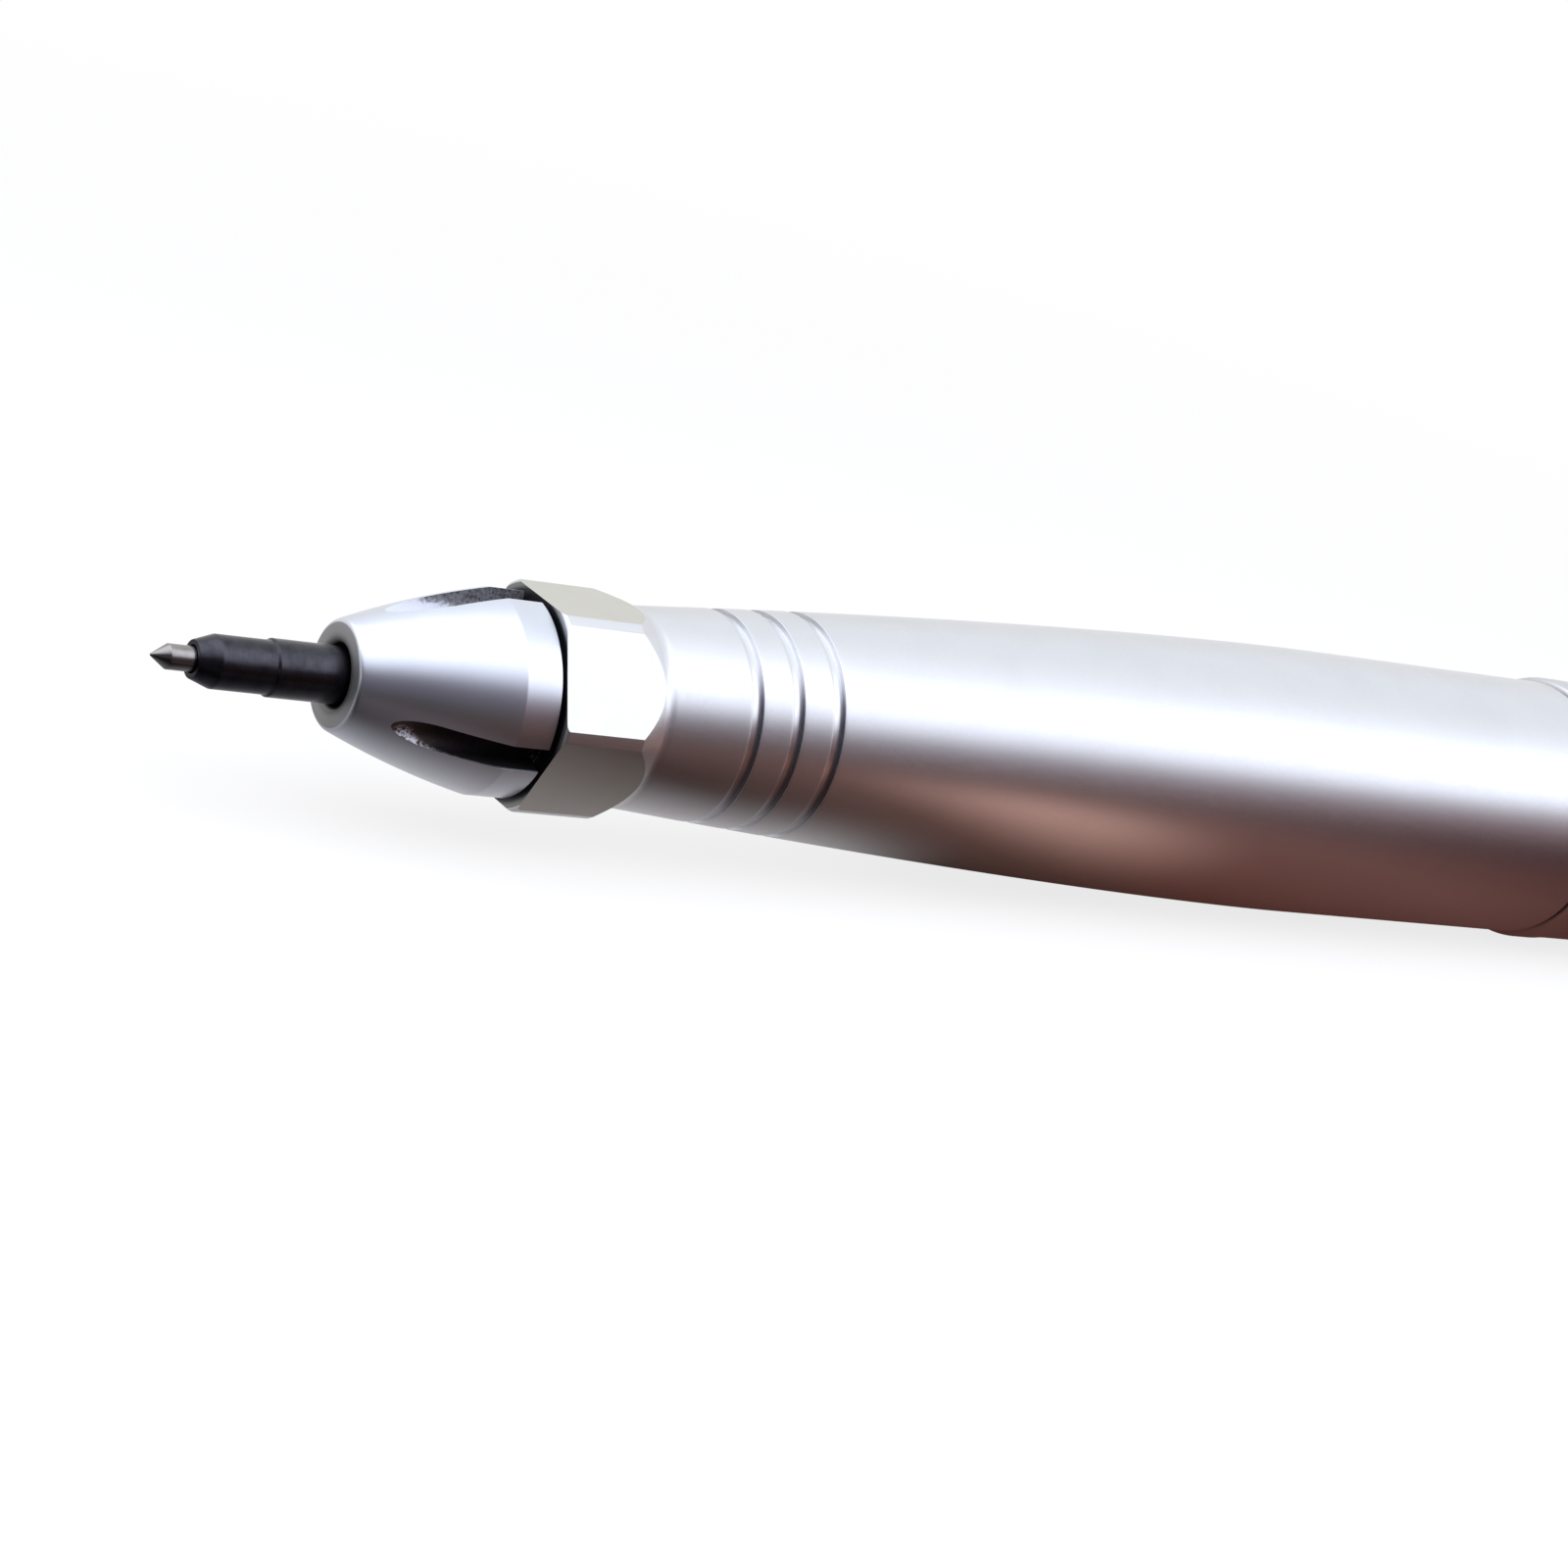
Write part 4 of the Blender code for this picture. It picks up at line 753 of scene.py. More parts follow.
def give_finish(bm: BMesh, front: float, rear: float, slot: int, outer: float = math.inf) -> None:
    """Give the faces between two stations a finish.

    Args:
        bm: The turned mesh.
        front: The first station, in millimetres.
        rear: The last station, in millimetres.
        slot: The material slot of the finish.
        outer: Radius that the faces have to stay within, in millimetres.
    """
    low = place(front, 0.0, 0.0).x - MERGE_DISTANCE
    high = place(rear, 0.0, 0.0).x + MERGE_DISTANCE
    for face in bm.faces:
        radius = max((vert.co - AXIS).cross(ALONG).length for vert in face.verts) / MM
        if radius < outer and all(low < vert.co.x < high for vert in face.verts):
            face.material_index = slot


def hold(name: str, bm: BMesh) -> bpy.types.Object:
    """Link a new object that holds a mesh.

    Args:
        name: Its name.
        bm: The mesh, which is freed.

    Returns:
        The object.
    """
    mesh = bpy.data.meshes.new(name)
    bm.to_mesh(mesh)
    bm.free()
    obj = bpy.data.objects.new(name, mesh)
    bpy.context.scene.collection.objects.link(obj)
    return obj


@dataclass
class Piece:
    """One visible piece of the pen.

    Attributes:
        name: The piece's name.
        node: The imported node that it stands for, which also names its material slot.
        finishes: Its finishes, in the order of its own slots; the first one is its main finish.
        part: The body that it moves with.
        added: Whether it only adds to a piece that stands for the node.
    """

    name: str
    node: str
    finishes: "tuple[Palette, ...]"
    part: Part = Part.PEN
    added: bool = False

    def make(self, bm: BMesh, cutters: "Sequence[Cutter]" = (), edge: float = 0.0) -> bpy.types.Object:
        """Turn a mesh into the finished piece.

        Args:
            bm: The piece's mesh.
            cutters: Meshes to cut out of it, each with the slot of the faces that it leaves.
            edge: Width of the bevel where one slot meets another, in millimetres.

        Returns:
            The piece.
        """
        bmesh.ops.recalc_face_normals(bm, faces=bm.faces)
        obj = self._dressed(self.name, bm)
        if cutters:
            self._carve(obj, cutters)
        if edge:
            self._break_edges(obj.data, edge)
        obj.data.shade_smooth()
        obj.data.set_sharp_from_angle(angle=SHARP_ANGLE)
        weighted = obj.modifiers.new("even_shading", "WEIGHTED_NORMAL")
        weighted.keep_sharp = True
        weighted.weight = SHADING_WEIGHT
        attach(obj, self.part.value)
        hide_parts(*(() if self.added else (self.node,)))
        LOG.info("%s: %d faces, moves with %s", self.name, len(obj.data.polygons), self.part.value)
        return obj

    def _dressed(self, name: str, bm: BMesh) -> bpy.types.Object:
        """Link a new object that holds a mesh, with the piece's finishes."""
        obj = hold(name, bm)
        for finish in self.finishes:
            obj.data.materials.append(finish.material())
        return obj

    def _carve(self, obj: bpy.types.Object, cutters: "Sequence[Cutter]") -> None:
        """Cut meshes out of the piece, which stays whole if no try leaves a sound mesh.

        Args:
            obj: The piece.
            cutters: The meshes, each with the slot of the faces that it leaves.
        """
        tools = []
        for index, (bm, slot) in enumerate(cutters):
            bmesh.ops.recalc_face_normals(bm, faces=bm.faces)
            for face in bm.faces:
                face.material_index = slot
            tool = self._dressed(f"cutter_{index}", bm)
            modifier = obj.modifiers.new(tool.name, "BOOLEAN")
            modifier.operation = "DIFFERENCE"
            modifier.solver = "EXACT"
            modifier.object = tool
            tools.append(tool)
        plain = obj.data
        for _ in range(CUT_TRIES):
            shaped = bpy.data.meshes.new_from_object(obj.evaluated_get(bpy.context.evaluated_depsgraph_get()))
            if self._sound(shaped, plain):
                obj.data = shaped
                break
            LOG.warning("%s: the cut left a broken mesh, so it is made again", self.name)
            bpy.data.meshes.remove(shaped)
            for tool in tools:
                tool.location += CUT_SHIFT
            bpy.context.view_layer.update()
        obj.modifiers.clear()
        if obj.data == plain:
            LOG.warning("%s: left uncut", self.name)
        else:
            bpy.data.meshes.remove(plain)
            obj.data.name = self.name
        for tool in tools:
            bpy.data.meshes.remove(tool.data)

    @staticmethod
    def _sound(shaped: bpy.types.Mesh, plain: bpy.types.Mesh) -> bool:
        """Tell whether a cut mesh is closed and has kept most of the plain one's volume.

        Args:
            shaped: The cut mesh.
            plain: The mesh before the cut.

        Returns:
            Whether it can be used.
        """
        volumes = []
        for mesh in (plain, shaped):
            bm = bmesh.new()
            bm.from_mesh(mesh)
            closed = all(item.is_manifold for item in bm.edges)
            volumes.append(abs(bm.calc_volume()))
            bm.free()
        return closed and volumes[0] * LEAST_KEPT < volumes[1] < volumes[0]

    @staticmethod
    def _break_edges(mesh: bpy.types.Mesh, edge: float) -> None:
        """Bevel the sharp edges between two slots.

        Args:
            mesh: The piece's mesh.
            edge: Width of the bevel, in millimetres.
        """
        bm = bmesh.new()
        bm.from_mesh(mesh)
        bmesh.ops.remove_doubles(bm, verts=bm.verts, dist=MERGE_DISTANCE)
        chosen = [
            item
            for item in bm.edges
            if len(item.link_faces) == 2
            and item.link_faces[0].material_index != item.link_faces[1].material_index
            and item.calc_face_angle(0.0) > SHARP_ANGLE
        ]
        rim = bmesh.ops.bevel(
            bm,
            geom=chosen,
            offset=edge * MM,
            offset_type="OFFSET",
            segments=2,
            profile=0.5,
            affect="EDGES",
            clamp_overlap=True,
            material=-1,
        )
        for face in rim["faces"]:
            face.material_index = MAIN_SLOT
        bm.to_mesh(mesh)
        bm.free()


# The pen


@dataclass
class Stylus:
    """The carbide point and its black shank. Sizes are in millimetres."""

    tip: float = -0.16
    tip_radius: float = 0.08
    point_radius: float = 0.86
    point_cone: float = 0.99
    point_rear: float = 7.56
    face: float = 2.76
    face_radius: float = 1.3
    socket_radius: float = 0.96
    socket_floor: float = 7.76
    taper: float = 1.44
    neck_radius: float = 1.82
    neck: float = 3.93
    radius: float = 1.965
    flange_front: float = 26.23
    flange_rear: float = 27.83
    flange_radius: float = 3.3825
    rear: float = 40.53
    chamfer: float = 0.4
    edge: float = 0.05

    def point(self) -> None:
        """Build the ground carbide point."""
        outline = Outline(closed=False).to(self.tip, 0.0)
        outline.to(self.tip, self.tip_radius, self.tip_radius / 2)
        outline.to(self.point_cone, self.point_radius, self.edge)
        outline.to(self.point_rear, self.point_radius).to(self.point_rear, 0.0)
        piece = Piece("ground_point", "carbide_point", (Palette.CARBIDE,), Part.STYLUS)
        piece.make(turned(outline, INNER_STEPS))

    def shank(self) -> None:
        """Build the shank with its tapered nose, its step, its flange and its struck end."""
        taper_end = self.face + self.taper
        step = taper_end + self.neck
        rise = self.radius - self.neck_radius
        outline = Outline(closed=False).to(self.socket_floor, 0.0).to(self.socket_floor, self.socket_radius)
        outline.to(self.face, self.socket_radius, self.edge).to(self.face, self.face_radius, self.edge)
        outline.to(taper_end, self.neck_radius, 2 * self.edge).to(step, self.neck_radius, self.edge)
        outline.to(step + rise, self.radius, self.edge).to(self.flange_front, self.radius, self.edge)
        outline.to(self.flange_front, self.flange_radius, self.edge)
        outline.to(self.flange_rear, self.flange_radius, self.edge)
        outline.to(self.flange_rear, self.radius, self.edge)
        outline.to(self.rear - self.chamfer, self.radius, self.edge)
        outline.to(self.rear, self.radius - self.chamfer, self.edge).to(self.rear, 0.0)
        piece = Piece("black_shank", "stylus_shank", (Palette.BLACK_OXIDE,), Part.STYLUS)
        piece.make(turned(outline, INNER_STEPS))

    def build(self) -> None:
        """Build the stylus."""
        self.point()
        self.shank()


@dataclass
class ReturnSpring:
    """The coil spring round the shank, which the stylus's stroke shortens."""

    node: str = "stylus_spring"
    joint: str = "stylus_stroke"
    stroke: float = 1.2

    def build(self) -> None:
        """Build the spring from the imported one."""
        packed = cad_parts[self.node]
        bm = bmesh.new()
        bm.from_mesh(packed.data)
        bm.transform(packed.matrix_world)
        bmesh.ops.remove_doubles(bm, verts=bm.verts, dist=MERGE_DISTANCE)
        places = [vert.co.x for vert in bm.verts]
        spring = Piece("return_spring", self.node, (Palette.SPRING_WIRE,)).make(bm)
        AXIS.y
        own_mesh(spring)


@dataclass
class NoseCone:
    """The fluted nose cone that screws into the housing. Sizes are in millimetres.

    Attributes:
        flutes: Each flute's clock angle, its mill's radius and its finish.
    """

    mouth_radius: float = 2.165
    mouth_edge: float = 0.45
    face_edge: float = 0.3
    rear: float = 26.53
    rear_edge: float = 0.08
    spigot_radius: float = 5.4
    spigot_rear: float = 32.03
    chamber_front: float = 17.0
    chamber_radius: float = 3.6825
    curve_steps: int = 28
    break_edge: float = 0.06
    flute_start: float = 1.8
    flute_floor: float = 4.76
    flute_edge: float = 0.1
    mill_slices: int = 48
    mill_steps: int = 16
    finishes: "tuple[Palette, ...]" = (
        Palette.TURNED_NOSE,
        Palette.FLUTE_WALL,
        Palette.TORN_WALL,
        Palette.NOSE_FACE,
    )
    flutes: "tuple[tuple[float, float, Palette], ...]" = (
        (-19.0, 1.0, Palette.FLUTE_WALL),
        (93.0, 1.35, Palette.TORN_WALL),
        (217.0, 1.0, Palette.FLUTE_WALL),
    )

    def surface(self, share: float) -> Point:
        """Give a point of the cone's outside at a share of its length."""
        return CONE.front + CONE.length * share, CONE.radius(share)

    def outline(self) -> Outline:
        """Draw the whole nose cone."""
        outline = Outline().to(self.chamber_front, self.mouth_radius)
        outline.to(CONE.front, self.mouth_radius, self.mouth_edge)
        outline.to(*self.surface(0.0), self.face_edge)
        outline.curve(self.surface(step / self.curve_steps) for step in range(2, self.curve_steps))
        outline.to(*self.surface(1.0), self.break_edge)
        outline.to(self.rear, CONE.rear_radius, self.rear_edge).to(self.rear, self.spigot_radius)
        outline.to(self.spigot_rear, self.spigot_radius, self.rear_edge)
        return outline.to(self.spigot_rear, self.chamber_radius).to(self.chamber_front, self.chamber_radius)

    def flute(self, clock: float, size: float) -> BMesh:
        """Make the volume that a ball-ended mill sweeps along one flute.

        Args:
            clock: Clock angle of the flute, in degrees.
            size: Radius of the mill, in millimetres.

        Returns:
            The volume.
        """
        front, rear = CONE.front + self.flute_start, self.spigot_rear + 2 * size
        floor, clear = self.flute_floor + size, CONE.rear_radius + 2 * size
        corners = ((rear, clear), (front, clear), (front, floor), (rear, floor))
        sideways = place(0.0, 1.0, clock + FULL_TURN / 4) - place(0.0, 0.0, clock)
        bm = bmesh.new()
        rings = []
        for index in range(self.mill_slices + 1):
            tilt = math.pi * index / self.mill_slices
            reach, width = size * math.sin(tilt), size * math.cos(tilt)
            ring = []
            for quarter, (station, radius) in enumerate(corners):
                for step in range(self.mill_steps + 1):
                    turn = math.pi / 2 * (quarter + step / self.mill_steps)
                    where = place(station + reach * math.cos(turn), radius + reach * math.sin(turn), clock)
                    ring.append(bm.verts.new(where + sideways * width))
            rings.append(ring)
        for ring, following in zip(rings, rings[1:]):
            for index, vert in enumerate(ring):
                bm.faces.new((ring[index - 1], vert, following[index], following[index - 1]))
        bm.faces.new(reversed(rings[0]))
        bm.faces.new(rings[-1])
        bmesh.ops.remove_doubles(bm, verts=bm.verts, dist=MERGE_DISTANCE)
        return bm

    def build(self) -> None:
        """Build the nose cone."""
        bm = turned(self.outline(), FINE_STEPS)
        face_slot = self.finishes.index(Palette.NOSE_FACE)
        inside = CONE.front_radius - self.face_edge / 2
        give_finish(bm, CONE.front, CONE.front + self.mouth_edge, face_slot, inside)
        slots = [self.finishes.index(finish) for _, _, finish in self.flutes]
        cutters = [(self.flute(clock, size), slot) for (clock, size, _), slot in zip(self.flutes, slots)]
        Piece("fluted_nose_cone", "nose_cone", self.finishes).make(bm, cutters, self.flute_edge)


@dataclass
class Housing:
    """The housing: hexagon, neck, grooved taper and barrel in one piece. Sizes are in millimetres."""

    front: float = 26.83
    flat_radius: float = 7.15
    corner_radius: float = 8.02
    front_edge: float = 0.1
    flat_edge: float = 0.05
    corner_chamfer: float = 0.16
    hex_rear: float = 32.9
    neck: float = 34.961
    neck_edge: float = 0.44
    neck_radius: float = 6.97
    body_front: float = 35.481
    body_front_radius: float = 7.08
    body_radius: float = 10.22
    taper: float = 60.5
    taper_power: float = 1.55
    taper_steps: int = 48
    groove_centres: Triple = (41.92, 45.17, 48.42)
    groove_width: float = 0.78
    groove_depth: float = 0.34
    groove_edge: float = 0.05
    groove_rim: float = 0.2
    rear: float = 121.03
    rear_edge: float = 0.3
    thread_radius: float = 8.0
    thread_front: float = 104.03
    bore_radius: float = 7.4
    bore_front: float = 50.53
    guide_radius: float = 6.1
    guide_front: float = 38.03
    nose_bore_radius: float = 5.6
    bore_margin: float = 1.01
    pin_hole_radius: float = 0.57
    pin_hole_circle: float = 9.21
    pin_hole_floor: float = 118.83
    pin_clock: float = -45.0
    flats: int = 6
    finishes: "tuple[Palette, ...]" = (
        Palette.SATIN_BODY,
        Palette.MILLED_FLAT,
        Palette.DULL_FACE,
        Palette.TURNED_GROOVE,
        Palette.GROOVE_WALL,
    )

    def body(self, station: float) -> float:
        """Give the body's outer radius at a station."""
        share = min((station - self.body_front) / self.taper, 1.0)
        swell = 1 - (1 - share) ** self.taper_power
        return self.body_front_radius + (self.body_radius - self.body_front_radius) * swell

    def outline(self) -> Outline:
        """Draw the whole housing, its hexagon still round."""
        outline = Outline().to(self.guide_front, self.nose_bore_radius)
        outline.to(self.front, self.nose_bore_radius, self.front_edge)
        outline.to(self.front, self.corner_radius - self.corner_chamfer, self.front_edge)
        outline.to(self.front + self.corner_chamfer, self.corner_radius, self.front_edge)
        outline.to(self.hex_rear, self.corner_radius)
        outline.to(self.neck, self.neck_radius, self.neck_edge)
        outline.to(self.body_front, self.body_front_radius, self.neck_edge / 2)
        half = self.groove_width / 2
        for centre in self.groove_centres:
            outline.to(centre - 2 * half, self.body(centre - 2 * half))
            floor = self.body(centre - half) - self.groove_depth
            outline.to(centre - half, self.body(centre - half), self.groove_rim)
            outline.to(centre - half, floor, self.groove_edge).to(centre + half, floor, self.groove_edge)
            outline.to(centre + half, self.body(centre + half), self.groove_edge)
            outline.to(centre + 2 * half, self.body(centre + 2 * half))
        start = self.groove_centres[-1] + 3 * half
        end = self.body_front + self.taper
        for step in range(self.taper_steps + 1):
            station = start + (end - start) * step / self.taper_steps
            outline.to(station, self.body(station))
        outline.to(self.rear, self.body_radius, self.rear_edge)
        outline.to(self.rear, self.thread_radius, self.front_edge)
        outline.to(self.thread_front, self.thread_radius).to(self.thread_front, self.bore_radius)
        outline.to(self.bore_front, self.bore_radius).to(self.bore_front, self.guide_radius)
        return outline.to(self.guide_front, self.guide_radius)

    def finish_faces(self, bm: BMesh) -> None:
        """Give the face round the nose cone, the grooves' floors and their rear walls their own finishes."""
        face, floor, wall = (
            self.finishes.index(finish)
            for finish in (Palette.DULL_FACE, Palette.TURNED_GROOVE, Palette.GROOVE_WALL)
        )
        give_finish(bm, self.front, self.front, face)
        half = self.groove_width / 2
        for centre in self.groove_centres:
            give_finish(bm, centre - half, centre + half - self.groove_edge, floor)
            give_finish(bm, centre + half - self.groove_edge, centre + half, wall)

    def mill_hexagon(self, bm: BMesh) -> None:
        """Cut the flats on the collar in front of the neck.

        Args:
            bm: The turned housing.
        """
        limit = place((self.neck + self.body_front) / 2, 0.0, 0.0).x
        inner = self.nose_bore_radius * self.bore_margin * MM
        for index in range(self.flats):
            clock = FULL_TURN / self.flats * (index + 0.5)
            faces = [
                face
                for face in bm.faces
                if all(vert.co.x < limit for vert in face.verts)
                and any((vert.co - AXIS).cross(ALONG).length > inner for vert in face.verts)
            ]
            cut = bmesh.ops.bisect_plane(
                bm,
                geom=list({item for face in faces for item in (*face.verts, *face.edges, face)}),
                dist=MERGE_DISTANCE,
                plane_co=place(0.0, self.flat_radius, clock),
                plane_no=(place(0.0, 1.0, clock) - place(0.0, 0.0, clock)).normalized(),
                clear_outer=True,
            )
            rim = [item for item in cut["geom_cut"] if isinstance(item, bmesh.types.BMEdge)]
            for face in bmesh.ops.contextual_create(bm, geom=rim)["faces"]:
                face.material_index = self.finishes.index(Palette.MILLED_FLAT)

    def build(self) -> None:
        """Build the housing."""
        bm = turned(self.outline(), FINE_STEPS)
        self.finish_faces(bm)
        self.mill_hexagon(bm)
        floor, mouth = (self.pin_hole_floor, self.pin_hole_circle), (self.rear + CLEAR, self.pin_hole_circle)
        hole = rods((self.pin_clock, floor, mouth, self.pin_hole_radius))
        Piece("tapered_housing", "housing", self.finishes).make(bm, [(hole, MAIN_SLOT)], self.flat_edge)


@dataclass
class ThrottleRing:
    """The scalloped ring that is turned to set the air. Sizes are in millimetres."""

    front: float = 121.33
    rear: float = 136.03
    radius: float = 10.6
    bore_radius: float = 8.2
    edge: float = 0.6
    bore_edge: float = 0.15
    scallops: int = 18
    scallop_facets: int = 16
    scallop_power: float = 1.5
    scallop_run: float = 0.8
    scallop_depth: float = 0.4
    scallop_front: float = 123.5
    scallop_rear: float = 133.86
    band_steps: int = 26
    track: float = 128.28
    track_half: float = 1.2
    track_radius: float = 8.9
    pocket_low: Triple = (123.73, 7.0, -2.0)
    pocket_high: Triple = (132.83, 9.3, 2.0)
    slot_inner: float = 8.64
    slot_outer: float = 9.78
    slot_floor: float = 122.63
    slot_start: float = -52.1
    slot_sweep: float = 104.2
    slot_steps: int = 40

    def outline(self) -> Outline:
        """Draw the ring before it is scalloped."""
        outline = Outline().to(self.front, self.bore_radius, self.bore_edge)
        outline.to(self.front, self.radius, self.edge)
        for step in range(self.band_steps + 1):
            share = step / self.band_steps
            outline.to(self.scallop_front + (self.scallop_rear - self.scallop_front) * share, self.radius)
        outline.to(self.rear, self.radius, self.edge).to(self.rear, self.bore_radius, self.bore_edge)
        for side in (1, -1):
            station = self.track + side * self.track_half
            pair = (self.bore_radius, self.track_radius)
            for radius in pair[::side]:
                outline.to(station, radius)
        return outline

    def scallop(self, bm: BMesh) -> None:
        """Press the grip's scallops into the ring's outside.

        Args:
            bm: The turned ring.
        """
        start, end = (DATUM_X + station * MM for station in (self.scallop_front, self.scallop_rear))
        for vert in bm.verts:
            offset = vert.co - AXIS
            radius = math.hypot(offset.y, offset.z)
            if radius < (self.radius - SLACK) * MM or not start < vert.co.x < end:
                continue
            angle = math.atan2(offset.z, -offset.y)
            wave = (1 - math.cos(self.scallops * angle)) / 2
            along = min(vert.co.x - start, end - vert.co.x) / MM
            fade = min(along / self.scallop_run, 1.0)
            depth = self.scallop_depth * wave**self.scallop_power * (1 - (1 - fade) ** 2) ** 0.5
            share = 1 - depth * MM / radius
            vert.co = AXIS + Vector((offset.x, offset.y * share, offset.z * share))

    def build(self) -> None:
        """Build the throttle ring."""
        bm = turned(self.outline(), self.scallops * self.scallop_facets)
        self.scallop(bm)
        before = self.front - CLEAR
        bounds = Outline().to(before, self.slot_inner).to(before, self.slot_outer)
        bounds.to(self.slot_floor, self.slot_outer).to(self.slot_floor, self.slot_inner)
        slot = turned(bounds, self.slot_steps, self.slot_start, self.slot_sweep)
        cutters = [(blocks(self.pocket_low, self.pocket_high), MAIN_SLOT), (slot, MAIN_SLOT)]
        piece = Piece("scalloped_throttle_ring", "throttle_ring", (Palette.SATIN_RING,), Part.THROTTLE_RING)
        piece.make(bm, cutters)


@dataclass
class ThrottleBody:
    """The ported throttle body with its inlet. Sizes are in millimetres."""

    front: float = 98.73
    spigot_radius: float = 7.2
    spigot_edge: float = 0.3
    groove_depth: float = 0.9
    groove_half: float = 0.6
    spigot_groove: float = 101.13
    thread_front: float = 104.33
    thread_radius: float = 7.8
    thread_rear: float = 121.18
    radius: float = 8.0
    ring_grooves: Range = (122.53, 134.83)
    clip_front: float = 136.13
    clip_rear: float = 137.13
    clip_floor: float = 7.3
    clip_edge: float = 0.1
    shoulder_edge: float = 0.15
    boss_front: float = 138.03
    boss_radius: float = 7.5
    boss_edge: float = 0.08
    rear: float = 150.03
    edge: float = 0.4
    mouth_edge: float = 0.05
    cut_edge: float = 0.06
    gallery_radius: float = 3.5
    wall_front: float = 126.78
    wall_rear: float = 129.78
    inlet_floor: float = 138.53
    inlet_radius: float = 4.5
    flats_front: float = 139.23
    flat: float = 6.5
    ports: Range = (125.03, 131.53)
    port_radius: float = 1.2
    detent: float = 128.28
    detent_radius: float = 1.2
    detent_floor: float = 4.4

    def groove(self, outline: Outline, station: float, radius: float) -> None:
        """Draw one O-ring groove in an outside wall."""
        floor = radius - self.groove_depth
        outline.to(station - self.groove_half, radius).to(station - self.groove_half, floor)
        outline.to(station + self.groove_half, floor).to(station + self.groove_half, radius)

    def outline(self) -> Outline:
        """Draw the body from its front gallery round to its inlet."""
        outline = Outline(closed=False).to(self.wall_front, 0.0).to(self.wall_front, self.gallery_radius)
        outline.to(self.front, self.gallery_radius, self.spigot_edge)
        outline.to(self.front, self.spigot_radius, self.spigot_edge)
        self.groove(outline, self.spigot_groove, self.spigot_radius)
        outline.to(self.thread_front, self.spigot_radius).to(self.thread_front, self.thread_radius)
        outline.to(self.thread_rear, self.thread_radius).to(self.thread_rear, self.radius)
        for station in self.ring_grooves:
            self.groove(outline, station, self.radius)
        outline.to(self.clip_front, self.radius).to(self.clip_front, self.clip_floor)
        outline.to(self.clip_rear, self.clip_floor).to(self.clip_rear, self.radius, self.clip_edge)
        outline.to(self.boss_front, self.radius, self.shoulder_edge)
        outline.to(self.boss_front, self.boss_radius, self.clip_edge)
        outline.to(self.rear - self.edge, self.boss_radius, self.boss_edge)
        outline.to(self.rear, self.boss_radius - self.edge, self.boss_edge)
        outline.to(self.rear, self.inlet_radius + self.edge, self.mouth_edge)
        outline.to(self.rear - self.edge, self.inlet_radius, self.mouth_edge)
        outline.to(self.inlet_floor, self.inlet_radius).to(self.inlet_floor, self.gallery_radius)
        return outline.to(self.wall_rear, self.gallery_radius).to(self.wall_rear, 0.0)

    def build(self) -> None:
        """Build the body with its wrench flats, its air ports and the detent's hole."""
        reach = self.boss_radius + CLEAR
        flats = blocks((self.flats_front, self.flat, -reach), (self.rear + CLEAR, reach, reach))
        inside, outside = self.gallery_radius - CLEAR, self.radius + CLEAR
        pins = [
            (clock, (station, inside), (station, outside), self.port_radius)
            for station in self.ports
            for clock in TOP_AND_BOTTOM
        ]
        pins.append((0.0, (self.detent, self.detent_floor), (self.detent, outside), self.detent_radius))
        piece = Piece("ported_throttle_body", "throttle_body", (Palette.TURNED_STEEL, Palette.TURNED_STEEL))
        cutters = [(flats, CUT_SLOT), (rods(*pins), CUT_SLOT)]
        piece.make(turned(self.outline(), FINE_STEPS), cutters, self.cut_edge)


@dataclass
class InletThread:
    """The inlet's thread, one helical ridge. Sizes are in millimetres."""

    front: float = 138.53
    radius: float = 4.5
    sunk: float = 0.04
    height: float = 0.3
    pitch: float = 0.907
    half_root: float = 0.3628
    half_crest: float = 0.06
    turns: int = 9
    turn_steps: int = 40

    def build(self) -> None:
        """Build the thread."""
        start, root, tip = self.front + self.pitch, self.radius + self.sunk, self.radius - self.height
        profile = (
            (start - self.half_root, root),
            (start - self.half_crest, tip),
            (start + self.half_crest, tip),
            (start + self.half_root, root),
        )
        bm = bmesh.new()
        bmesh.ops.spin(
            bm,
            geom=[bm.faces.new([bm.verts.new(place(*point, 0.0)) for point in profile])],
            cent=AXIS,
            axis=ALONG,
            dvec=ALONG * (self.pitch * MM / self.turn_steps),
            angle=math.tau * self.turns,
            steps=self.turn_steps * self.turns,
            use_duplicate=False,
        )
        Piece("inlet_thread", "throttle_body", (Palette.TURNED_STEEL,), added=True).make(bm)


@dataclass
class RetainingRing:
    """The open clip that holds the throttle ring, with a plier hole at each end. Sizes are in millimetres."""

    front: float = 136.23
    rear: float = 137.03
    inner: float = 7.5
    outer: float = 9.2
    edge: float = 0.06
    start: float = -70.0
    sweep: float = 320.0
    steps: int = 120
    hole_clocks: Range = (-62.0, 242.0)
    hole_circle: float = 8.4
    hole_radius: float = 0.42
    hole_ends: Range = (135.0, 138.0)

    def build(self) -> None:
        """Build the ring."""
        outline = Outline().to(self.front, self.inner, self.edge).to(self.front, self.outer, self.edge)
        outline.to(self.rear, self.outer, self.edge).to(self.rear, self.inner, self.edge)
        first, last = ((station, self.hole_circle) for station in self.hole_ends)
        holes = rods(*((clock, first, last, self.hole_radius) for clock in self.hole_clocks))
        piece = Piece("open_retaining_ring", "retaining_ring", (Palette.PHOSPHATED,))
        piece.make(turned(outline, self.steps, self.start, self.sweep), [(holes, MAIN_SLOT)])


